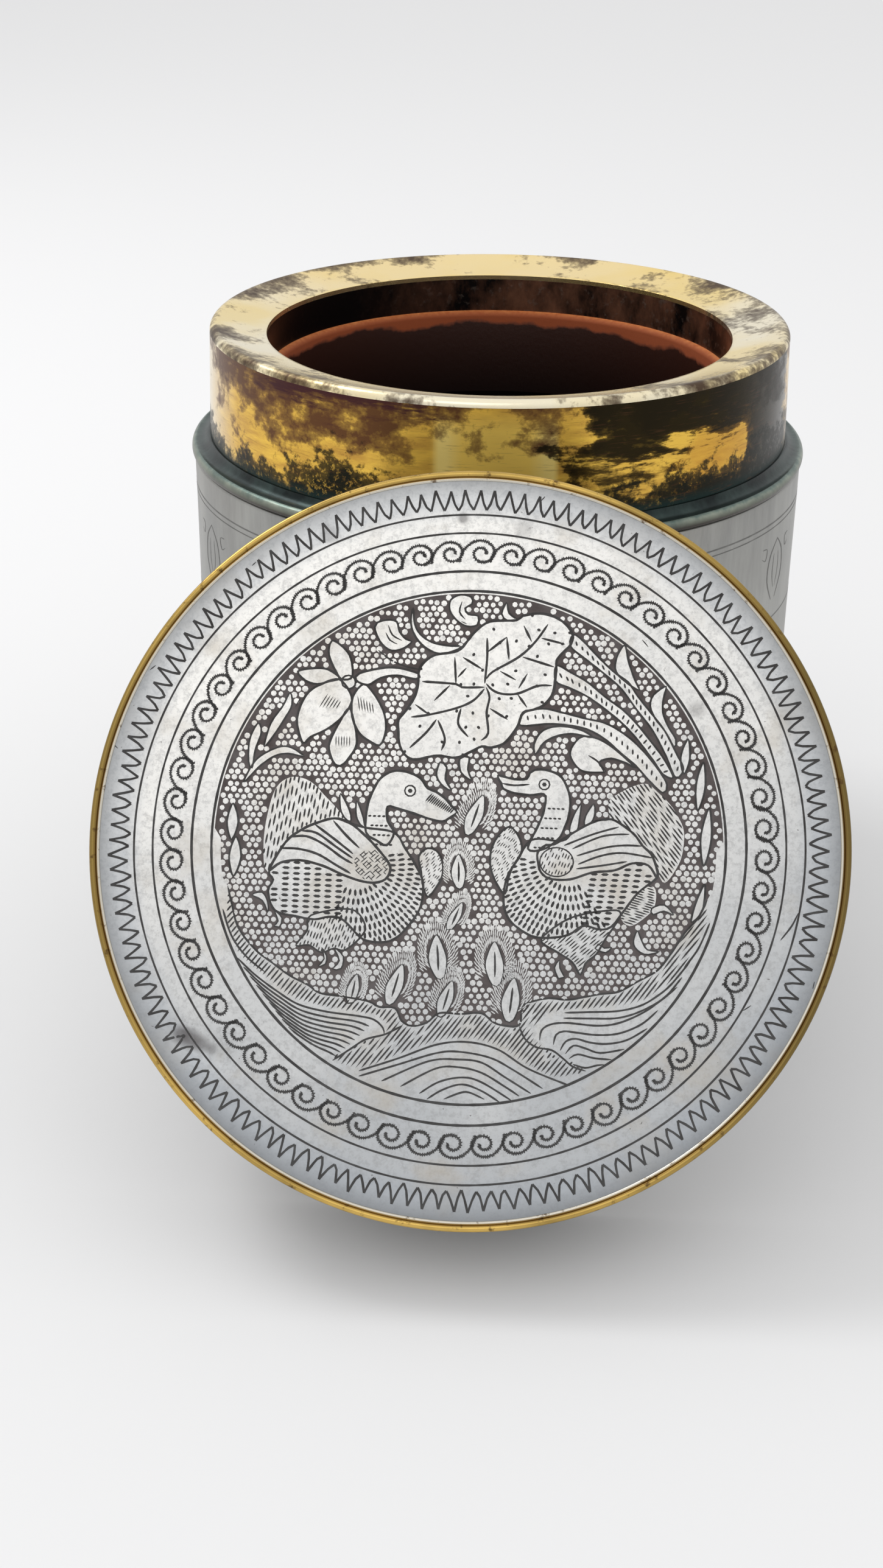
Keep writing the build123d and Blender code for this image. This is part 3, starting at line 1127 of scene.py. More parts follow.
def tick(sheet, x, y, angle, length=0.9, width=0.24, level=cut_level):
    """One short cut of the graver, pointed at both ends."""
    points, faces = sheet
    start = len(points)
    dx, dy = math.cos(angle) * length / 2, math.sin(angle) * length / 2
    nx, ny = -math.sin(angle) * width / 2, math.cos(angle) * width / 2
    drop = dent(x, y) + level
    for px, py in (
        (x - dx, y - dy), (x - dx * 0.45 - nx, y - dy * 0.45 - ny),
        (x + dx * 0.5 - nx, y + dy * 0.5 - ny), (x + dx, y + dy),
        (x + dx * 0.5 + nx, y + dy * 0.5 + ny), (x - dx * 0.45 + nx, y - dy * 0.45 + ny),
    ):
        points.append((px, py, drop))
    faces.append(tuple(range(start, start + 6)))


print("marks are cut", cut_level, "mm over the face")

# %% [markdown]
# A figure is a flat patch inside a closed curve. The same curve also answers whether a place
# lies inside it, which keeps strokes within a wing and the punched ground away from the
# birds.
# %% Patches


def patch(sheet, outline, level):
    """A flat area inside a closed curve."""
    points, faces = sheet
    start = len(points)
    area = sum(a[0] * b[1] - b[0] * a[1] for a, b in zip(outline, outline[1:] + outline[:1]))
    ring = outline if area > 0 else outline[::-1]
    points += [(x, y, level) for x, y in ring]
    for face in tessellate_polygon([[Vector((x, y, 0)) for x, y in ring]]):
        a, b, c = (Vector((*ring[k], 0)) for k in face)
        turned_face = face if (b - a).cross(c - a).z > 0 else face[::-1]
        faces.append(tuple(start + k for k in turned_face))


def inside(x, y, outline):
    """Whether a place lies inside a closed curve."""
    odd = False
    for (ax, ay), (bx, by) in zip(outline, outline[1:] + outline[:1]):
        if (ay > y) != (by > y) and x < (bx - ax) * (y - ay) / (by - ay) + ax:
            odd = not odd
    return odd


print("a unit square holds its middle:", inside(0.5, 0.5, [(0, 0), (1, 0), (1, 1), (0, 1)]))

# %% [markdown]
# All the marks of one kind become one piece on the lid, which rides with it. Scribed circles
# were drawn by hand with a compass, so they wander by a few hundredths of a millimetre.
# %% Laying marks on the lid


def lay(name, sheet, finish):
    """Make one piece from a sheet of marks on the lid's face."""
    points, faces = sheet
    finish_piece(name, points, faces, points, lid_stand, finish, "lid", sharp=80)


def ring_curve(radius, steps):
    """A circle that was scribed by hand."""
    wobble = 0.05
    curve = []
    for step in range(steps):
        angle = math.tau * step / steps
        off = wobble * noise.noise(Vector((math.cos(angle) * 3, math.sin(angle) * 3, radius)))
        curve.append(((radius + off) * math.cos(angle), (radius + off) * math.sin(angle)))
    return curve


print("a ring is drawn through", len(ring_curve(36.5, 300)), "points")

# %% [markdown]
# Three borders frame the picture: a zigzag of 150 teeth by the rim, a plain band, and sixty
# running scrolls. The teeth were cut one by one, so their corners are uneven and their sides
# bow inwards. A few later knocks cross them.
# %% The rings and the zigzag
scribed_radii = ((33.84, 0.34), (36.5, 0.34), (41.67, 0.26), (44.16, 0.26))
tooth_count = 150
tooth_root = 44.85
tooth_tip = 47.5
knocks = (
    "43.4,-7.3 42.6,-9 41.2,-10.9", "22.1,28 22.9,27.1", "-47.8,11.9 -47,11.2",
    "45.7,-16.1 45.5,-17", "-43.2,21.9 -42.5,22.5", "36.6,-20.2 37.6,-19.5", "8.1,46.3 8.6,46.9",
    "-30.2,36.4 -29.7,36.9",
)


def cut_borders():
    """Scribed circles and the zigzag."""
    sheet = new_sheet()
    for radius, width in scribed_radii:
        cut(sheet, ring_curve(radius, 300), width, closed=True)
    corners = []
    for tooth in range(tooth_count):
        for out in (0, 1):
            angle = math.tau * (tooth + out * 0.5 + random.uniform(-0.07, 0.07)) / tooth_count
            rest, spread = (tooth_tip, (-0.35, 0.2)) if out else (tooth_root, (-0.2, 0.2))
            radius = rest + random.uniform(*spread)
            corners.append((radius * math.cos(angle), radius * math.sin(angle)))
    for start, end in zip(corners, corners[1:] + corners[:1]):
        middle = ((start[0] + end[0]) / 2, (start[1] + end[1]) / 2)
        bow = random.uniform(0.985, 0.999)
        cut(sheet, smooth([start, (middle[0] * bow, middle[1] * bow), end], 0.7), 0.31, taper=0)
    for knock in knocks:
        cut(sheet, smooth(points_of(knock)), 0.22)
    lay("borders", sheet, cut_dark)


cut_borders()

# %% [markdown]
# A scroll was made with a small chisel, one tick after another, so its line is a row of short
# cross-cuts. Each curl sets off from its neighbour's side, goes round the outside and ends in
# its own middle.
# %% The scrolls
scroll_count = 60
scroll_radius = 39.1
curl_reach = 2.35
curl_from = 205
curl_sweep = 585


def cut_scrolls():
    """Sixty clockwise curls, each a row of chisel ticks on a thin line."""
    sheet = new_sheet()
    for scroll in range(scroll_count):
        middle = math.pi / 2 - math.tau * (scroll + 0.12) / scroll_count
        out_x, out_y = math.cos(middle), math.sin(middle)
        size = random.uniform(0.94, 1.06)
        curve = []
        for step in range(36):
            share = step / 35
            angle = math.radians(curl_from - curl_sweep * share)
            reach = (curl_reach - 1.85 * share ** 0.85) * size
            along, off = reach * math.cos(angle) * 0.98, reach * math.sin(angle) * 0.86
            if share < 0.12:
                along -= (0.12 - share) * 6.0
                off -= (0.12 - share) * 4.0
            radius = scroll_radius + off - 0.12
            curve.append((radius * out_x + along * out_y, radius * out_y - along * out_x))
        curve = smooth(curve, 0.25)
        cut(sheet, curve, 0.22, taper=0.6)
        for back, here, ahead in zip(curve, curve[1:], curve[2:]):
            heading = math.atan2(ahead[1] - back[1], ahead[0] - back[0])
            tick(
                sheet, *here, heading + math.pi / 2 + random.uniform(-0.35, 0.35),
                random.uniform(0.46, 0.66), 0.19, cut_level + 0.004,
            )
    lay("scrolls", sheet, cut_dark)


cut_scrolls()

# %% [markdown]
# The picture is a pond: two ducks face each other on a bank under a lotus leaf, a flower and
# buds, with water below. Each figure is its outline, in order round it, and the lines inside.
# Outlines are laid as light patches, each half a thousandth of a millimetre above the last,
# so that overlapping ones don't share a plane.
# %% Drawing a figure
figure_outlines = []
figure_patches = new_sheet()
figure_cuts = new_sheet()
halo_shade = new_sheet()


def figure(text, width=0.30, drawn=True):
    """A light patch with its outline cut round it; its curve is kept and returned."""
    outline = smooth(points_of(text), 0.5, closed=True)
    patch(figure_patches, outline, figure_level + figure_step * (len(figure_outlines) % 24))
    figure_outlines.append(outline)
    if drawn:
        cut(figure_cuts, outline, width, closed=True)
    return outline


def lines(texts, width=0.24):
    """Several tapered lines of the current figure."""
    for text in texts:
        cut(figure_cuts, smooth(points_of(text)), width)


def dashes_between(upper, lower, shares, pitch, tilt, length, width):
    """Rows of short cuts between two edges, at given shares of the way across."""
    first, second = smooth(points_of(upper), 0.3), smooth(points_of(lower), 0.3)
    steps = max(2, round(len(first) * 0.3 / pitch))
    for share in shares:
        for step in range(1, steps):
            a = first[round((len(first) - 1) * step / steps)]
            b = second[round((len(second) - 1) * step / steps)]
            x, y = a[0] + (b[0] - a[0]) * share, a[1] + (b[1] - a[1]) * share
            angle = math.atan2(b[1] - a[1], b[0] - a[0]) + tilt
            tick(figure_cuts, x, y, angle, length * random.uniform(0.85, 1.15), width)


print("sheets are ready for the figures")

# %% [markdown]
# Three bent stems come down from the lotus leaf to the right. Each is a light strip between
# two curves, with one row of short slanted cuts along its middle.
# %% The stems
stem_edges = (
    (
        "13,28.4 14.3,27.6 16.4,25.5 18.5,23.6 20.4,22.3 21.7,20.5 23.3,18.6 25.4,16 27,13.1 28,11",
        "12.7,26.8 15.1,24.9 17.5,23.1 19.6,21.3 21.7,18.6 23.8,16 25.6,12.8 27,9.9",
    ),
    (
        "10.9,24.2 12.7,23.4 15.1,22.1 17.5,20.2 19.8,18.6 21.7,16.8 23.5,14.7 25.4,12.3 26.7,9.9",
        "10.9,22.1 12.7,21.3 15.1,20.2 17.5,18.6 19.8,16.8 21.7,14.9 23.8,12.3 25.4,10.2",
    ),
    (
        "6.9,17.8 9.3,18.4 11.7,18 14.8,17.3 17.7,16.7 20.4,15.2 22.5,13.4 24.6,11 25.9,8.9",
        "6.4,16.1 10.1,16.4 12.7,16.3 15.1,15.9 17.5,14.7 19.8,12.8 21.7,11.3 23.5,9.4 25.4,7.8",
    ),
)
for upper, lower in stem_edges:
    figure(upper + " " + " ".join(reversed(lower.split())), 0.26)
    dashes_between(upper, lower, (0.5,), 0.95, 0.5, 0.75, 0.24)
print(len(stem_edges), "stems")

# %% [markdown]
# The leaf is the largest figure. Its veins fork from the middle to a scalloped edge, and
# small broad ticks between them stand for its texture. They are strewn by a grid with some
# chance in it, and only inside the leaf.
# %% The lotus leaf
figure(
    "-7.3,22.8 -6.8,23.9 -5.2,25.1 -2.3,25.7 -1,27.1 0.1,28.5 1.9,29.8 5.4,30.1 6.2,30.7 8.5,31.1 "
    "10.4,30.7 11.9,29.8 12.9,28.4 12.7,27.1 11.7,26 10.9,24.9 10.9,23.6 10.8,22.3 10.6,20.7 "
    "10.1,19.7 9.3,18.8 8,18.2 6.7,17.8 6.2,16.3 5.4,14.9 4.3,13.6 2.7,13 1.4,13.1 0.1,12.4 "
    "-2,11.5 -4.4,11.7 -7.1,11.1 -8.4,11.4 -9.4,12.8 -9.7,14.9 -9.7,16.3 -8.6,17.8 -7.6,19.7 "
    "-7.3,21.5",
    0.34,
)
lines(
    (
        "1.5,21.5 1.7,24.9 1.6,27.6", "1.7,25.7 4.2,27.8", "4.2,27.8 4.6,24.8",
        "1.7,22.1 2.5,23.1 5.9,25.2 8,27.3 9.6,29.7", "7.5,27.3 6.4,29.4", "8.8,27.8 11.9,27.1",
        "6.4,25.2 10.6,24", "1.7,21.5 2.5,20.7 3.8,20.2 5.9,20.3 8.5,21.4 10.4,21.5",
        "3.5,23.2 5.6,22.1", "7.1,23 6,21", "5.9,20.2 7.2,18.5", "1.1,23.4 -1.5,24.9",
        "1.5,21 -1.5,20.9 -2.3,21.3 -6.8,21.5", "-2.3,21.3 -2.6,24.9", "-2.1,22.2 -1,23.5",
        "-3.1,21.1 -5.1,19", "1.5,20.8 0.1,19.2 -2.1,18.1 -5.7,17.1 -8.1,16.7",
        "-5.7,17.1 -7.6,18.4", "-1.5,18.1 -1.8,16 -0.4,14.3", "-4.7,16.5 -6,14.7 -8.1,12.6",
        "1.7,21 2.2,19.7 1.9,17.6 2.2,14.9 1.3,13.9", "2.3,18.2 4.7,16.8",
        "-4.5,16.4 -3.5,14 -3.9,12.4",
    ),
    0.32,
)
leaf = figure_outlines[-1]
for column in range(12):
    for row in range(11):
        u = -9 + column * 2.05 + (row % 2) * 1.0 + random.uniform(-0.35, 0.35)
        v = 11.8 + row * 1.9 + random.uniform(-0.35, 0.35)
        if inside(u, v, leaf) and random.random() < 0.62:
            tick(figure_cuts, u, v, random.uniform(0, math.pi), 0.52, 0.36)
print("leaf of", len(leaf), "points")

# %% [markdown]
# The flower has six open petals round a small heart. Fans of fine, nearly parallel ticks
# shade the three that hang down.
# %% The lotus flower
for petal_text in (
    "-17.8,21.4 -20.2,20.7 -21.8,19.6 -22.8,17.8 -23.2,15.5 -22.3,12.8 -21.3,13.6 -19.2,14.7 "
    "-17.6,16 -16.4,17.6 -16.1,19.2",
    "-15.9,19.2 -15.9,16.5 -14.9,14.4 -13.6,13.4 -12.1,12.8 -11.4,14.4 -11.5,16.5 -12.3,18.4 "
    "-13.6,20.2 -14.6,20.9",
    "-16.4,17.6 -17.8,15.2 -18.6,13.4 -18.8,12.1 -18.2,10.5 -17.6,9.9 -16.7,10.2 -15.3,12.3 "
    "-15.2,13.9 -15.7,16",
    "-23.4,22.3 -21.3,22.8 -19.4,22.7 -17.8,21.6 -19.2,21.1 -20.7,20.7 -22.3,21.1",
    "-17.6,21.5 -18.4,22.6 -19.2,24.2 -19.4,25.5 -19,26.6 -17.8,26 -16.6,24.7 -16.1,22.8 "
    "-16.3,21.6",
    "-15.6,21.4 -15.2,22.3 -12.3,23.1 -9.9,23.2 -7.3,22.5 -7.6,21.8 -10.2,22.2 -12.3,21.8 -14,20.8",
):
    figure(petal_text)
figure("-17.4,21.6 -16.6,22 -15.8,21.6 -15.7,20.7 -16.4,20.2 -17.3,20.6", 0.24)
for step in range(6):
    tick(figure_cuts, -19.8 + 0.40 * step, 18.5 - 0.10 * step, 1.05, 2.3 - 0.2 * step, 0.13)
    tick(figure_cuts, -15.1 + 0.38 * step, 18.3 - 0.12 * step, 1.75, 2.2 - 0.15 * step, 0.13)
    tick(figure_cuts, -17.9 + 0.36 * step, 13.2, 1.6, 1.5, 0.12)
print(len(figure_outlines), "outlines so far")

# %% [markdown]
# Buds and narrow leaves fill the space between. They are the same thing at different sizes,
# an outline with at most a line or two inside, so they come from one list.
# %% Buds and small leaves
for bud in (
    "-13.1,29.2 -11.8,29.6 -10.5,29.4 -10.1,28.1 -9.2,27.1 -8.4,26.8 -9.4,25.9 -11,25.5 "
    "-12.3,26.3 -13.1,27.6 -13.4,28.6",
    "-8.4,31.3 -8.6,29.2 -7.8,27.3 -6.3,25.9 -4.4,25.3 -2.1,26 -1.8,26.4 -3.6,26.4 -5.7,26.8 "
    "-7.3,27.8 -8.1,29.2",
    "-3.4,32.6 -2.1,33.3 -0.7,33 -0.6,32.1 -1.5,31.5 -1,30.7 0.3,30.5 0.2,29.3 -1.2,29.1 "
    "-2.6,29.9 -3.5,31.2",
    "4,32.4 3.4,30.9 4.2,30 5.4,30.2 4.4,31",
    "8.5,12.3 8.3,13.6 9.1,15.2 10.6,16 12.7,16.1 14.8,15.6 15.9,14.8 13.3,15.2 11.2,14.8 "
    "9.6,13.9 8.8,12.6",
    "14.8,14.9 13.8,14.2 13.1,12.8 13.5,11.5 14.8,10.3 16.9,10.2 17.8,10.4 16.9,11.5 18.5,12.1 "
    "20.6,11.5 21.7,11 19,13.3 16.8,14.6",
    "19.8,27.2 18.8,25.5 18.8,23.6 20.4,22.1 21.9,21.3 21.2,22.8 20.4,25",
    "25.4,21.9 23.8,20.7 23.4,19.2 24.1,17.6 25.4,16 26.7,13.9 26.9,14.9 25.9,16.5 25.1,18.4 "
    "25.1,20.2",
    "-4,10.8 -4.4,9 -3.4,7.6 -2.4,7.2 -3.2,8.6 -3.1,10.2",
    "-1.4,11.4 -1.2,9.6 0.2,8.6 -0.3,10 -0.2,11.6",
    "-28.4,15.2 -29.4,13 -29.4,10 -28.9,9.2 -28.6,11.6 -27.9,14",
    "-24.3,19.4 -25.2,17.6 -26.7,15.2 -27.4,12.2 -26.4,13.4 -24.9,15.9 -24,17.8",
    "-29.9,7.3 -28.5,10.2 -26.2,11.8 -24.2,12.2 -22.1,11 -24.2,11.3 -26,10.9 -28,9.4",
    "28.5,15 27.6,12.6 28.1,10.4 28.8,12.4", "30.6,12 29.7,9 30,5.6 30.9,8.6",
    "31.5,6 30.5,2 31,-1.6 31.9,2", "-31.2,4.4 -31.9,2 -31.2,-0.4 -30.4,2",
    "-30.6,0 -31.4,-2.6 -30.7,-5.2 -29.8,-2.6", "31.2,-4 30.1,-6.5 29.6,-9 31,-7.4",
):
    figure(bud, 0.26)
lines(
    (
        "-12.8,25.5 -11,24.2 -8.9,23.4 -7.1,23.1", "-11.6,28.9 -11,27.6 -9.7,26.9",
        "-11.9,27.9 -11.3,26.9 -10.3,26.4", "15.5,12.4 16.9,11.5 17.7,10.1",
        "-1.9,32.4 -2.2,31 -1.4,30", "-22.8,18.9 -23.5,17.6", "-1.9,29.7 -1.2,29.4",
    )
)
print(len(figure_outlines), "lotus outlines")

# %% [markdown]
# Feathers are strokes in order. Steep parts are hatched: rows of strokes walk across a shape,
# all at one angle, and stop where the shape stops. The body's small feathers are rows of
# dashes, upright columns of short level cuts behind, and rings round the shoulder in front.
# %% Strokes for feathers


def hatch(outline, angle, spacing, length, gap, width=0.18, avoid=()):
    """Rows of strokes inside a curve, all at one angle, broken by small gaps."""
    us, vs = [p[0] for p in outline], [p[1] for p in outline]
    middle = ((min(us) + max(us)) / 2, (min(vs) + max(vs)) / 2)
    reach = math.hypot(max(us) - min(us), max(vs) - min(vs)) / 2
    stride, shortest = 0.26, 0.4
    dx, dy = math.cos(angle), math.sin(angle)
    side = -reach
    while side < reach:
        along, start, limit = -reach, None, length * random.uniform(0.3, 1.1)
        while along < reach:
            x, y = middle[0] + dx * along - dy * side, middle[1] + dy * along + dx * side
            within = inside(x, y, outline) and not any(inside(x, y, other) for other in avoid)
            if within and start is None:
                start = along
            if start is not None and (not within or along - start >= limit):
                if along - start > shortest:
                    back = (along - start) / 2
                    tick(
                        figure_cuts, x - dx * back, y - dy * back,
                        angle + random.uniform(-0.04, 0.04), back * 2, width,
                    )
                start, limit = None, length * random.uniform(0.8, 1.15)
                along += gap
            along += stride
        side += spacing * random.uniform(0.9, 1.1)


def ring_dashes(centre, radii, first, last, body, avoid):
    """Feather dashes in rings round the shoulder, each cut pointing at its middle."""
    pitch = 0.68
    for ring, radius in enumerate(radii):
        count = max(2, round(abs(last - first) * math.pi / 180 * radius / pitch))
        for step in range(count):
            angle = math.radians(first + (last - first) * (step + 0.5 * (ring % 2)) / count)
            x, y = centre[0] + radius * math.cos(angle), centre[1] + radius * math.sin(angle)
            if inside(x, y, body) and not inside(x, y, avoid):
                tick(figure_cuts, x, y, angle + random.uniform(-0.1, 0.1), 1.0, 0.34)


def column_dashes(first, last, low, high, lean_by, body, avoid):
    """Columns of short level cuts over the back of the body."""
    dash_pitch, column_pitch = 0.72, 1.42
    u = first
    while u < last:
        v = low
        while v < high:
            x = u + (v - low) * lean_by
            ends = ((x - 0.45, v), (x + 0.45, v))
            if all(inside(*end, body) and not inside(*end, avoid) for end in ends):
                tick(figure_cuts, x, v, random.uniform(-0.08, 0.08), 1.04, 0.36)
            v += dash_pitch
        u += column_pitch


def oval(x, y, wide, high, count, pitch):
    """A closed curve round a middle, in steps of pitch radians."""
    return [(x + wide * math.cos(k * pitch), y + high * math.sin(k * pitch)) for k in range(count)]


def eye(x, y, size):
    """A ring and a pupil."""
    cut(figure_cuts, oval(x, y, size, size, 10, 0.6283), 0.22, closed=True)
    tick(figure_cuts, x, y, 0, size * 0.9, size * 0.75)


print("strokes for feathers ready")

# %% [markdown]
# The left duck looks right. It is built in the order in which its parts overlap: a humped
# back behind, a thigh, the body, the neck and head with a dark bill, then a wing of long
# feathers over a cross-hatched shoulder.
# %% The duck on the left


def left_duck():
    """The duck that looks right, with a dark bill."""
    hump = figure(
        "-26.6,-4 -26.9,0 -26.4,4 -25.5,6.8 -23.9,8.1 -22.1,8.1 -20.5,7.3 -19.2,6 -17.1,3.9 -16,2 "
        "-20,0 -24,-2 -25.6,-4.2",
        drawn=False,
    )
    thigh = figure(
        "-20.2,-10 -20.6,-12 -22,-14 -20.3,-13.9 -18.6,-14.8 -17,-14.2 -15.6,-14.4 -13.6,-12.7 "
        "-13,-11 -15,-9",
        0.24,
    )
    body = figure(
        "-13.4,1.8 -15.5,2.3 -17.6,2.9 -20,2.2 -22,1.2 -24,-0.5 -26,-4.2 -25.4,-5.5 -26,-7 "
        "-25,-9.5 -22.1,-10.2 -19.7,-10.5 -17.8,-10.1 -16,-10.4 -13.6,-12.6 -12.3,-13.1 "
        "-10.2,-13.1 -8.6,-12.3 -7.1,-10.6 -6,-8.8 -5.6,-6.9 -5.7,-4.8 -6.8,-2.7 -8.1,-0.8 "
        "-9.7,1.3"
    )
    figure(
        "-13.4,1.2 -13.4,4.4 -12.8,6.5 -11.8,8.4 -10.2,9.4 -8.4,9.4 -6.5,8.6 -5.5,7.3 -4.4,6.9 "
        "-3.1,6 -2.1,4.9 -1.5,4.3 -2.6,3.4 -3.4,3 -5.2,3.3 -7.1,3.9 -9.7,4.6 -10.7,4.7 -10.6,2.8 "
        "-9.7,1.3 -10.6,-0.4 -12,0.2",
        0.32,
    )
    wing = figure(
        "-26,-4.2 -24,-0.5 -22,1.2 -20,2.2 -17.6,2.9 -15.5,2.3 -13.3,0.6 -11.5,-1.2 -10.2,-2.8 "
        "-10,-3.8 -10.6,-4.9 -12,-5.4 -14,-5.2 -16.5,-4.4 -19,-3.4 -22,-2.8 -24.5,-3.2",
        0.34,
    )
    lines(
        (
            "-23.6,0.2 -21.3,0.4 -18.9,-0.6 -16.5,-2.2 -15,-3",
            "-24.7,-1.3 -22.3,-1.3 -19.7,-1.9 -17.1,-3.3 -15.2,-4.3", "-20.2,2 -17.6,0.2 -15,-1.7",
            "-17.8,2.6 -16,0.7 -14.2,-0.9", "-22,1.1 -20,0.9 -17.2,-0.9 -15,-2.3",
        ),
        0.32,
    )
    shoulder = oval(-12.6, -3.0, 2.3, 2.1, 16, 0.4)
    hatch(shoulder, 0.75, 0.42, 1.1, 0.1, 0.14)
    hatch(shoulder, -0.75, 0.6, 1.0, 0.1, 0.12)
    hatch(hump, 1.42, 0.55, 1.45, 0.22, 0.24, avoid=(wing, body))
    hatch(thigh, 1.25, 0.42, 0.9, 0.12, 0.18, avoid=(body,))
    column_dashes(-25.2, -15.4, -9.6, -2.2, 0.0, body, wing)
    ring_dashes((-14.5, -3.2), (3.6, 4.8, 6.0, 7.2, 8.3, 9.3, 10.2), -112, 22, body, wing)
    for step in range(4):
        for k in range(4):
            tick(figure_cuts, -13 + 0.62 * k + 0.35 * step, 3.4 - 1.25 * step, 0.12, 0.5, 0.26)
    for step in range(14):
        tick(
            figure_cuts, -5.3 + 0.24 * step, 6.1 - 0.13 * step, 0.9, 1.5 - 0.05 * step, 0.20,
            cut_level + 0.003,
        )
    eye(-7.8, 6.9, 0.72)
    for spike in (
        "-17,6.2 -16.9,4.2 -16.3,3 -15.5,2.6 -15.7,4",
        "-14.8,5.3 -14.8,3.4 -14.2,2.2 -13.6,1.8 -14,3.6",
    ):
        figure(spike, 0.22)
    for claw in (
        "-18.9,-16.6 -18.2,-15.6 -18.6,-14.2 -17.9,-15.2 -18,-16.3",
        "-17,-16.9 -16.2,-15.8 -16.9,-14.2 -15.7,-15.2 -15.9,-16.8",
        "-28.1,-7.6 -26.8,-7.2 -26,-8.4 -25.9,-9.8 -26.7,-8.3",
        "-25,-11.6 -24.5,-10.9 -25,-9.6 -24,-10.5 -24.3,-11.7",
    ):
        figure(claw, 0.2)


left_duck()
print(len(figure_outlines), "outlines with the left duck")

# %% [markdown]
# The right duck looks left. It isn't the left one turned round: its bill is open, its tail
# shows, and the strokes of its back lean over. So it has curves of its own, and shares only
# the kinds of stroke.
# %% The duck on the right


def right_duck():
    """The duck that looks left, with an open bill."""
    hump = figure(
        "18.6,4 18.4,6.4 19.8,7.6 21.7,8.6 23.3,8.9 24.8,7.8 26.4,6.3 27.5,4.7 28.3,2.8 28.2,0 "
        "27.5,-2 26,-4 24.8,-2.6 22,0 19,2",
        drawn=False,
    )
    thigh = figure(
        "10.2,-12.3 12.2,-13.5 14.3,-14.8 15.4,-16.4 16,-14.9 17.4,-13.6 18.4,-11.8 20.4,-8.2 "
        "18,-8 14,-9 11,-11",
        0.26,
    )
    tail = figure("20.4,-8.4 21.6,-9.8 23.6,-8.6 24.8,-7 24.6,-4.6 22,-5", drawn=False)
    body = figure(
        "12.4,1 13.8,2.1 16.4,3.6 18,4 19.3,3.9 21.7,2.3 23,0.7 24.1,-0.3 24.8,-1.9 25,-3.3 "
        "22.6,-5.4 20.9,-7.7 19.2,-10 17.6,-10.4 15.6,-10 13.8,-11.2 11.7,-11.7 9.3,-11.7 "
        "7.5,-10.9 5.9,-9.6 5.1,-7.7 5.1,-5.4 5.6,-3.5 6.7,-1.7 8.5,1"
    )
    figure(
        "3.7,9.3 5.9,8.9 7.5,9 7.9,9.8 8.5,10.2 9.8,10.3 11.7,9.7 12.7,8.4 13.3,6.5 13.2,4.4 "
        "12.7,2.8 11.9,1.2 10,-0.2 8,-0.2 9.1,2.6 9.8,4.4 10.1,6.3 9.8,7.1 8,6.9 5.9,7.1 4.5,7.6 "
        "4.2,8.3",
        0.32,
    )
    wing = figure(
        "9.4,-2 9.3,-0.6 10.4,0.4 11.4,0.5 13.8,2.1 16.4,3.6 18,4 19.3,3.9 21.7,2.3 23,0.7 "
        "24.1,-0.3 24.8,-1.9 25,-3.4 23.8,-1.8 21.7,-1.6 19.4,-2.6 16.5,-3 13.6,-4 11,-4 9.8,-3.2",
        0.34,
    )
    lines(
        (
            "12.7,0.4 16.4,2 19.8,3.1", "13.8,0 17.7,1.8 21.2,2.2",
            "14.4,-0.9 18,0.3 20.6,0.7 23,0.7", "14.6,-2 17.5,-0.8 20.4,-0.3 24.3,-0.8",
            "4.3,8.3 5.9,8.1 7.9,8.3", "14.4,-2.6 18,-2 21,-1.4",
        ),
        0.30,
    )
    shoulder = oval(11.8, -1.8, 2.2, 1.9, 16, 0.4)
    cut(figure_cuts, smooth(shoulder, closed=True), 0.22, closed=True)
    hatch(shoulder, 1.2, 0.42, 0.7, 0.15, 0.16)
    hatch(hump, 2.25, 0.46, 2.1, 0.12, 0.22, avoid=(wing, body))
    hatch(thigh, 0.75, 0.40, 1.3, 0.10, 0.17, avoid=(body,))
    hatch(tail, 2.9, 0.34, 1.5, 0.10, 0.18, avoid=(body,))
    ring_dashes((13.5, -1.6), (3.7, 4.9, 6.1, 7.3, 8.4, 9.4, 10.3), -180, -58, body, wing)
    column_dashes(15.6, 24.4, -10.4, -1.6, 0.16, body, wing)
    for step in range(5):
        for k in range(4):
            tick(figure_cuts, 10.6 + 0.6 * k - 0.42 * step, 5.2 - 1.3 * step, -0.12, 0.5, 0.24)
    eye(9.85, 8.35, 0.70)
    for spike in (
        "14.7,5.9 13.7,4 13.4,2.2 14.3,2.4 14.6,4", "16.4,6 15.4,4.4 15.3,3.2 16.2,3.6 16.6,4.8",
    ):
        figure(spike, 0.22)
    for claw in (
        "12.6,-17 12,-15.6 12.6,-14.6 12.7,-15.6 13.3,-16.8",
        "17.2,-12.9 18.6,-13.4 19.3,-12.7 18.4,-12.8 17.6,-12.3",
        "24.4,-7.4 26,-6.9 27.3,-8.2 26,-7.7 24.6,-8.2",
        "22.6,-10.4 22.2,-12.2 23.6,-13.4 25.6,-13 24,-12.8 23.2,-11.6",
    ):
        figure(claw, 0.2)


right_duck()
print(len(figure_outlines), "outlines with the ducks")

# %% [markdown]
# Two smooth eggs stand between the birds, each a light oval with short faint strokes. They
# are left nearly bare, because that is what makes them look round among so many marks.
# %% The eggs
egg_texts = (
    "-6.3,-1.7 -5.2,-0.6 -4,-0.9 -3.2,-2.2 -3.1,-4.1 -3.8,-5.6 -4.9,-7 -5.6,-5.6 -5.9,-3.8",
    "7.1,-0.8 7.1,0.5 6.4,1.9 5.4,2.6 4.2,1.6 3.2,-0.4 3.2,-2.8 4.1,-5 5.2,-6.2 5.6,-4 6.2,-2.4",
)
for egg in egg_texts:
    curve = figure(egg, 0.28)
    hatch(curve, 0.9, 0.30, 0.5, 0.25, 0.12)
print(len(egg_texts), "eggs")

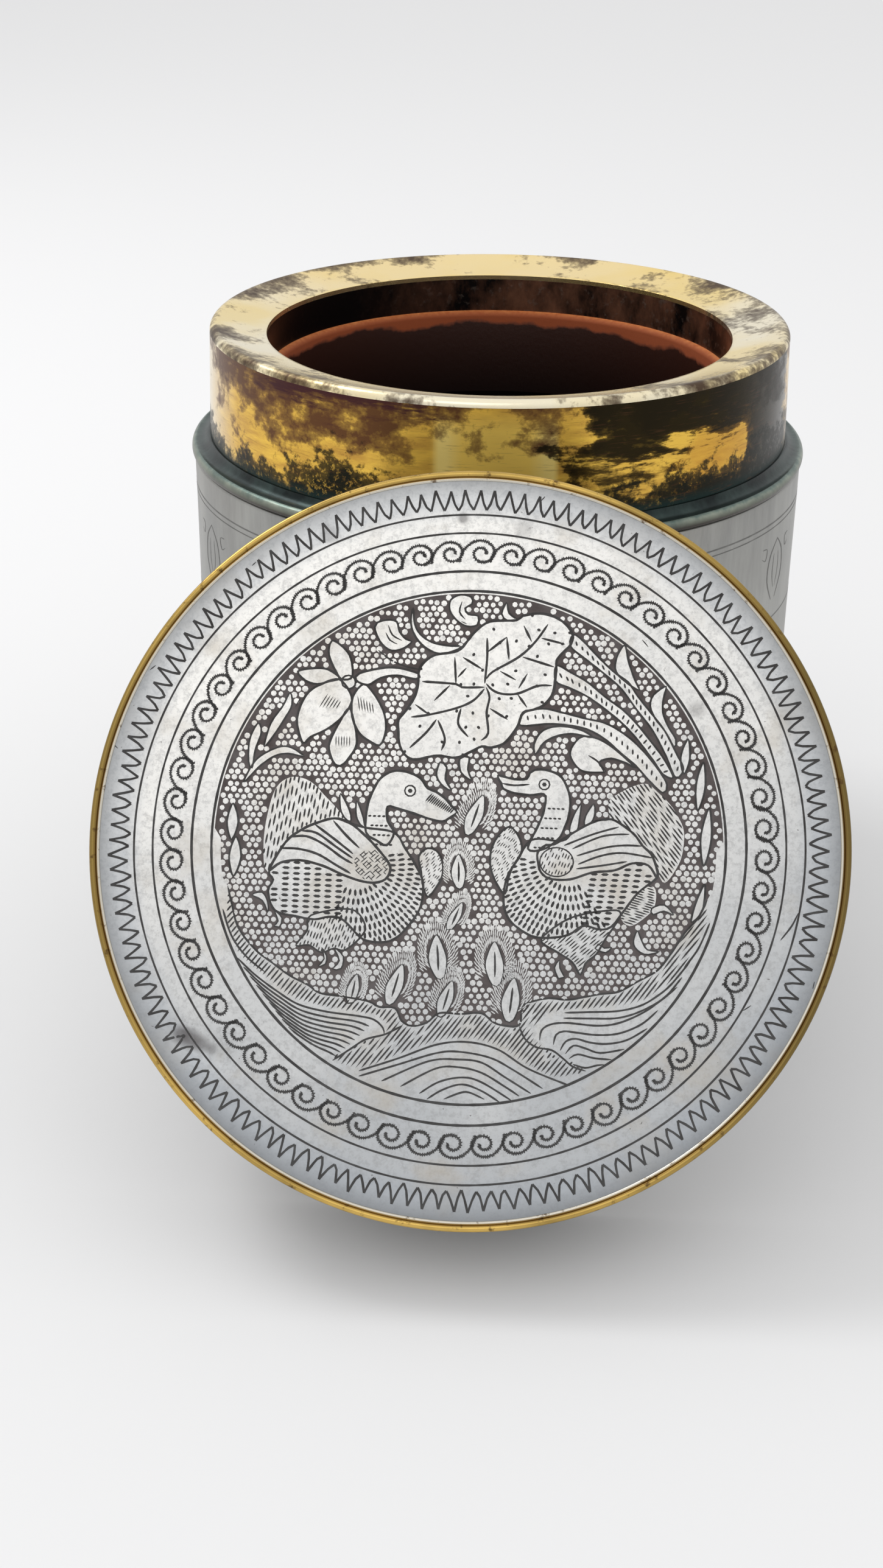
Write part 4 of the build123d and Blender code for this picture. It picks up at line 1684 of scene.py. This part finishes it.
# %% [markdown]
# Small tufts grow along the middle: a pointed leaf with one vein, inside a halo of fine
# strokes that thin out into the ground. One function draws them, given a place, a size and a
# lean.
# %% The tufts


def tuft(x, y, size, lean_by):
    """A leaf with a vein and its halo."""
    shape = (
        (0, 1.0), (-0.34, 0.35), (-0.42, -0.25), (-0.12, -0.95), (0.22, -0.9), (0.40, -0.2),
        (0.30, 0.4),
    )
    text = " ".join(f"{x + (px + py * lean_by) * size:.2f},{y + py * size:.2f}" for px, py in shape)
    halo = (
        (0.1, 1.45), (-0.62, 0.95), (-0.84, 0.1), (-0.62, -0.55), (-0.1, -1.0), (0.55, -0.6),
        (0.86, 0.1), (0.66, 0.95),
    )
    halo_curve = smooth(
        [(x + (px + py * lean_by) * size, y + py * size) for px, py in halo], closed=True,
    )
    patch(halo_shade, halo_curve, halo_level)
    figure_outlines.append(halo_curve)
    figure(text, 0.18)
    for step in range(34):
        angle = math.pi * (-0.16 + 1.32 * step / 33)
        px, py = 0.60 * math.cos(angle), 0.1 + 1.08 * math.sin(angle)
        heading = math.atan2(py + 0.9, px * 1.1)
        for out in (0.94, 1.2, 1.42):
            spot = (x + (px * out + py * lean_by) * size, y + py * out * size)
            fine = size * random.uniform(0.26, 0.44)
            tick(
                figure_patches, *spot, heading + random.uniform(-0.16, 0.16), fine, 0.15,
                fringe_level,
            )
    vein = [
        (x - lean_by * 0.5 * size, y - 0.6 * size), (x + 0.03, y),
        (x + lean_by * 0.5 * size, y + 0.55 * size),
    ]
    cut(figure_cuts, smooth(vein), 0.28)


for x, y, size, lean_by in (
    (0.9, 4.0, 2.7, 0.35), (-1.0, -3.5, 2.3, -0.05), (-1.2, -9.4, 1.9, 0.45),
    (-3.3, -14.8, 2.9, -0.1), (-8.7, -18.6, 2.7, 0.3), (-14.2, -19.4, 2.0, 0.2),
    (-2.0, -20.2, 2.4, 0.3), (4.2, -15.4, 2.9, -0.05), (6.5, -20.0, 2.9, 0.1),
):
    tuft(x, y, size, lean_by)
print(len(figure_outlines), "outlines in all")

# %% [markdown]
# The dark ground is one sheet from the scribed circle down to the bank's edge. It was matted
# with a ring punch, so it is covered with small round heads, a little uneven in their rows.
# Heads are left out wherever a figure stands.
# %% The punched ground
bank_edge = points_of(
    "-31.4,-6.5 -30.7,-9 -29.7,-12 -27.3,-14.8 -25,-16.4 -22.6,-18 -20.2,-19.1 -18.6,-20.1 "
    "-16,-20.4 -12.3,-20.9 -10.7,-21.6 -8.6,-21.7 -7.7,-23.3 -6.3,-23.9 -4.4,-23.4 -2.8,-22.1 "
    "0,-22.1 2.7,-21.9 4.3,-23 5.9,-23.4 7.7,-23.2 8,-20.8 9.3,-20.1 11.4,-19.6 13.8,-19.7 "
    "15.9,-19.3 18,-18.8 20.4,-18.4 23,-16.9 25.4,-15.4 27.2,-13 28.8,-10.4 30.4,-8.5 31.6,-6"
)
head_pitch = 0.93
row_pitch = head_pitch * 0.87
head_radius = 0.385
ground_radius = 33.5


def box_of(outline):
    """A curve's least and greatest x and y, and the curve itself."""
    xs, ys = [point[0] for point in outline], [point[1] for point in outline]
    return min(xs), max(xs), min(ys), max(ys), outline


def near_figure(x, y, boxes):
    """Whether a punched head at a place would touch a figure."""
    near = head_radius * 0.9
    spots = ((x, y), (x + near, y), (x - near, y), (x, y + near), (x, y - near))
    for low_x, high_x, low_y, high_y, outline in boxes:
        if low_x - near < x < high_x + near and low_y - near < y < high_y + near:
            if any(inside(*spot, outline) for spot in spots):
                return True
    return False


def punched_ground():
    """The dark sheet and its punched heads."""
    first = math.atan2(bank_edge[-1][1], bank_edge[-1][0])
    last = math.atan2(bank_edge[0][1], bank_edge[0][0]) + math.tau
    arc_points = []
    for step in range(1, 90):
        angle = first + (last - first) * step / 90
        radius = ground_radius if 0.06 < step / 90 < 0.94 else ground_radius - 0.9
        arc_points.append((radius * math.cos(angle), radius * math.sin(angle)))
    outline = smooth(bank_edge, 0.6) + arc_points
    sheet = new_sheet()
    patch(sheet, outline, ground_level)
    lay("ground", sheet, ground_dark)
    cut(figure_cuts, smooth(bank_edge, 0.5), 0.26)
    boxes = [box_of(figure_outline) for figure_outline in figure_outlines]
    points, faces = new_sheet()
    for row in range(round(60 / row_pitch)):
        for column in range(round(68 / head_pitch)):
            x = -34 + (column + 0.5 * (row % 2)) * head_pitch + random.uniform(-0.10, 0.10)
            y = -24.5 + row * row_pitch + random.uniform(-0.10, 0.10)
            if math.hypot(x, y) > ground_radius - 0.4 or not inside(x, y, outline):
                continue
            if near_figure(x, y, boxes):
                continue
            start = len(points)
            size = head_radius * random.uniform(0.82, 1.12)
            points.append((x, y, head_level))
            points += [(*spot, halo_level) for spot in oval(x, y, size, size, 7, 0.8976)]
            faces += [(start, start + 1 + k, start + 1 + (k + 1) % 7) for k in range(7)]
    lay("punched_heads", (points, faces), face_pewter)
    print(len(faces) // 7, "punched heads")


punched_ground()

# %% [markdown]
# Below the bank's edge, long slanted strokes shade its slope. They are hatched like the
# birds' backs, in the strip between the edge and the water.
# %% The bank's slope
bank_shape = [(x, y - 0.3) for x, y in smooth(bank_edge, 0.6)] + smooth(
    points_of(
        "31.6,-9.4 29.8,-13 27.5,-16.4 25,-18.6 22.6,-19.9 18,-20.7 13.5,-21.2 10.6,-22 9.4,-24.2 "
        "11,-26 13,-27.2 16.4,-28.8 12,-29.8 8,-28 5,-26.3 1,-25.4 -3,-25.9 -8,-27.9 -13,-29.8 "
        "-16.4,-28.7 -14,-27 -10,-25.2 -9.6,-24.6 -10.4,-23.2 -12.6,-22.6 -17.4,-22.1 -21.3,-21.3 "
        "-24.2,-19.8 -27.3,-17.4 -29.6,-15.2 -31.4,-11.5"
    ),
    0.6,
)
hatch(bank_shape, 0.92, 0.56, 5.0, 0.0, 0.22)
print("slope of", len(bank_shape), "points")

# %% [markdown]
# The water is bundles of even lines: one sweeping in from each side, and a round swell in the
# middle. The eight lines at the left are evenly spread between two edges, so they are worked
# out rather than listed.
# %% The water
water = [
    "-29.7,-15.9 -27.3,-18 -24.2,-20.1 -21.3,-21.7 -17.6,-22.5 -13.4,-22.9 -11.3,-23.3 "
    "-10.1,-24.3 -9.9,-25.1",
    "-7.6,-23.9 -9.7,-25.1 -12.3,-25.9 -14.2,-27.2 -16.5,-28.8",
    "-13,-30 -8,-28.2 -3,-26.2 1,-25.7 5,-26.5 9,-28.8 14.5,-30.8",
    "-13,-30.7 -8,-29 -3,-27.3 0,-27 4,-27.6 7,-29 11,-31.3",
    "-10,-31.2 -4,-28.4 0,-28 3,-28.3 6,-30 9.5,-32",
    "-7.5,-31.8 -3,-29.3 0,-29 3,-29.6 6,-31.2 8,-32.4",
    "-5,-32.6 -2.5,-31 0.5,-30.3 3,-30.8 7,-33", "-4,-33.3 -2,-32 0.5,-31.2 3,-31.9 5.5,-33.3",
    "-1.8,-33.2 0.3,-32.3 1.5,-32.2 3.5,-33",
    "13.5,-21.4 16.4,-21.2 20.4,-20.9 23.3,-20.1 25.4,-18.8 27.2,-17.2 29.6,-14.1",
    "10.4,-25.1 10.6,-23.8 11.7,-23 13.8,-22.7 17.7,-22.9 20.4,-22.5 23.3,-21.2 25.6,-19.6 "
    "28,-17.5",
    "12.2,-25.6 12.5,-24.3 13.5,-23.8 15.1,-23.9 17.7,-24.1 20.6,-23.8 23.5,-22.5 25.6,-20.6",
    "13.1,-26.3 13.8,-25.1 15.1,-24.7 16.9,-25.1 19.1,-25.2 21.7,-24.6 24.3,-23",
    "13.8,-26.7 14.8,-25.6 16.4,-25.9 18.3,-26.4 21.4,-25.8",
    "14.3,-27.3 15.4,-26.7 17.5,-27.1 19.8,-27.2", "14.8,-28 16.4,-28.4 18,-28 19,-27.9",
    "13.4,-22.1 17,-22 20.4,-21.8 23.4,-20.8 26.4,-18.9 28.6,-16.2",
    "7.7,-23.4 8.5,-25 10,-26 12,-26.3 13.5,-27.3 14.8,-28.3 16.5,-28.8",
    "-31.9,-9.6 -30.6,-13 -28.6,-15.6 -26,-17.6", "32,-9 30.6,-12.4 28.8,-15",
]
upper_edge = points_of(
    "-29.7,-15.9 -27.3,-18 -24.2,-20.1 -21.3,-21.7 -17.6,-22.5 -13.4,-22.9 -11.3,-23.5"
)
lower_edge = points_of(
    "-21.6,-25.7 -20.9,-26.2 -20.1,-26.7 -19.3,-27.2 -18.5,-27.7 -17.6,-28.2 -16.7,-28.7"
)
sag = 0.9
for step in range(1, 9):
    share = step / 9
    spots = [
        (a + (c - a) * share, b + (d - b) * share - sag * share * (1 - share))
        for (a, b), (c, d) in zip(upper_edge, lower_edge)
    ]
    water.append(" ".join(f"{u:.2f},{v:.2f}" for u, v in spots))
lines(water, 0.25)
print(len(water), "lines of water")

# %% [markdown]
# The sheets are full now, and each becomes one piece on the lid: the light figures, the shade
# round the tufts, and all the dark cuts.
# %% Laying the picture
lay("figures", figure_patches, face_pewter)
lay("halo_shades", halo_shade, ground_dark)
lay("figure_cuts", figure_cuts, cut_dark)

# %% [markdown]
# The wall is engraved too, but worn so smooth that only faint marks are left. Only two strips
# of them show, so their form is a guess: upright petals with curls between, under a scribed
# ring. The sheet is drawn flat, as the wall unrolled, then wrapped round the tube so that it
# follows the wall's own wander.
# %% Petals on the wall
petal_count = 14
petal_pitch = math.tau * wall_radius / petal_count
petal_middle = 66.0
worn_level = 0.028
worn_rings = ((74.4, 0.22), (73.5, 0.16), (57.6, 0.2))


def wrap(name, sheet, finish):
    """Bend a sheet of marks round the tin's wall."""
    points, faces = sheet
    placed = []
    for u, v, raised in points:
        angle = u / wall_radius - math.pi / 2
        out = Vector((math.cos(angle), math.sin(angle), 0))
        off = noise.noise(out * 2.3 + Vector((0, 0, v * 0.05 + len("wall_dressed")))) * wall_wander
        placed.append(tuple(out * (wall_radius + off + raised) + Vector((0, 0, v))))
    finish_piece(name, placed, faces, placed, Matrix.Identity(4), finish, "tin", sharp=80)


def petal(sheet, u, v):
    """An upright petal of two worn strokes, its vein, and a curl on either side."""
    for side in (-1, 1):
        edge = [
            (u, v + 5.2), (u + side * 2.5, v + 2.6), (u + side * 3.0, v - 1.2),
            (u + side * 0.8, v - 5.0),
        ]
        cut(sheet, smooth(edge), 0.34, taper=5, level=worn_level)
        curl = [
            (u + side * 5.4, v + 4.6), (u + side * 3.9, v + 4.3), (u + side * 4.3, v + 2.6),
            (u + side * 5.5, v + 3.1),
        ]
        cut(sheet, smooth(curl), 0.26, taper=4, level=worn_level)
        vein = [(u + side * 0.9, v + 2.8), (u + side * 1.1, v - 0.4), (u + side * 0.3, v - 3.0)]
        cut(sheet, smooth(vein), 0.2, taper=4, level=worn_level)


print("petals every", round(petal_pitch, 1), "mm")

# %% [markdown]
# The marks are barely darker than the wall, since only a trace of the cut is left. They are
# repeated all round the tin, as such a border would be.
# %% The wall's border
wall_marks = new_sheet()
for index in range(petal_count):
    petal(wall_marks, (index + 0.35) * petal_pitch, petal_middle)
for level_up, width in worn_rings:
    ring = [(math.tau * wall_radius * k / 400, level_up) for k in range(401)]
    cut(wall_marks, ring, width, taper=0, level=worn_level)
wall_cut = make_cut("wall_cut", (0.085, 0.084, 0.078), (0.20, 0.198, 0.186), 0.5)
wrap("wall_cuts", wall_marks, wall_cut)

# %% [markdown]
# The floor is one wide pale sheet, so even that it hardly shows. It belongs to the stage and
# not to the tin.
# %% The floor
floor_tone = (0.83, 0.83, 0.835)
floor_half = 3.0


def make_floor():
    """A wide pale sheet under the tin."""
    mesh = bpy.data.meshes.new("floor")
    corners = [(x * floor_half, y * floor_half, 0) for x, y in ((-1, -1), (1, -1), (1, 1), (-1, 1))]
    mesh.from_pydata(corners, [], [(0, 1, 2, 3)])
    floor = bpy.data.objects.new("floor", mesh)
    bpy.context.scene.collection.objects.link(floor)
    material, tree, shader = start_finish("floor_paper")
    settle(tree, shader, (*floor_tone, 1), 0.0, 0.85)
    mesh.materials.append(material)

make_floor()
print("floor", 2 * floor_half, "m wide")

# %% [markdown]
# Metal shows what stands round it, so the sky matters more than the lamps. It is even and
# pale on all sides, and a little brighter overhead.
# %% The sky


def light_sky(low, high):
    """An even pale sky, a little brighter overhead."""
    world = bpy.data.worlds.new("sky")
    world.use_nodes = True
    tree = world.node_tree
    direction = add_node(tree, "ShaderNodeTexCoord").outputs["Generated"]
    rise = span(tree, axis_of(tree, direction, "Z"), 0.0, 1.0)
    tint = blend_colours(tree, rise, (low, low, low), (high, high, high))
    set_input(tree, tree.nodes["Background"].inputs["Color"], tint)
    tree.nodes["Background"].inputs["Strength"].default_value = 1.0
    bpy.context.scene.world = world


light_sky(0.80, 0.96)
print("sky ready")

# %% [markdown]
# A large lamp high on the left behind the tin gives the soft shadows, and a weaker one in
# front lifts the lid's face. Both are wide squares, like windows.
# %% The lamps


def add_lamp(name, place, aim, size, power):
    """A square soft lamp."""
    lamp = bpy.data.lights.new(name, "AREA")
    lamp.size = size
    lamp.energy = power
    holder = bpy.data.objects.new(name, lamp)
    holder.location = place
    holder.rotation_euler = (Vector(aim) - Vector(place)).to_track_quat("-Z", "Y").to_euler()
    bpy.context.scene.collection.objects.link(holder)


add_lamp("key_lamp", (-0.50, 0.25, 0.75), (0, -0.03, 0.05), 0.34, 2.0)
add_lamp("front_lamp", (-0.30, -0.8, 0.95), (0, -0.05, 0.05), 0.6, 0.7)
print("two lamps")
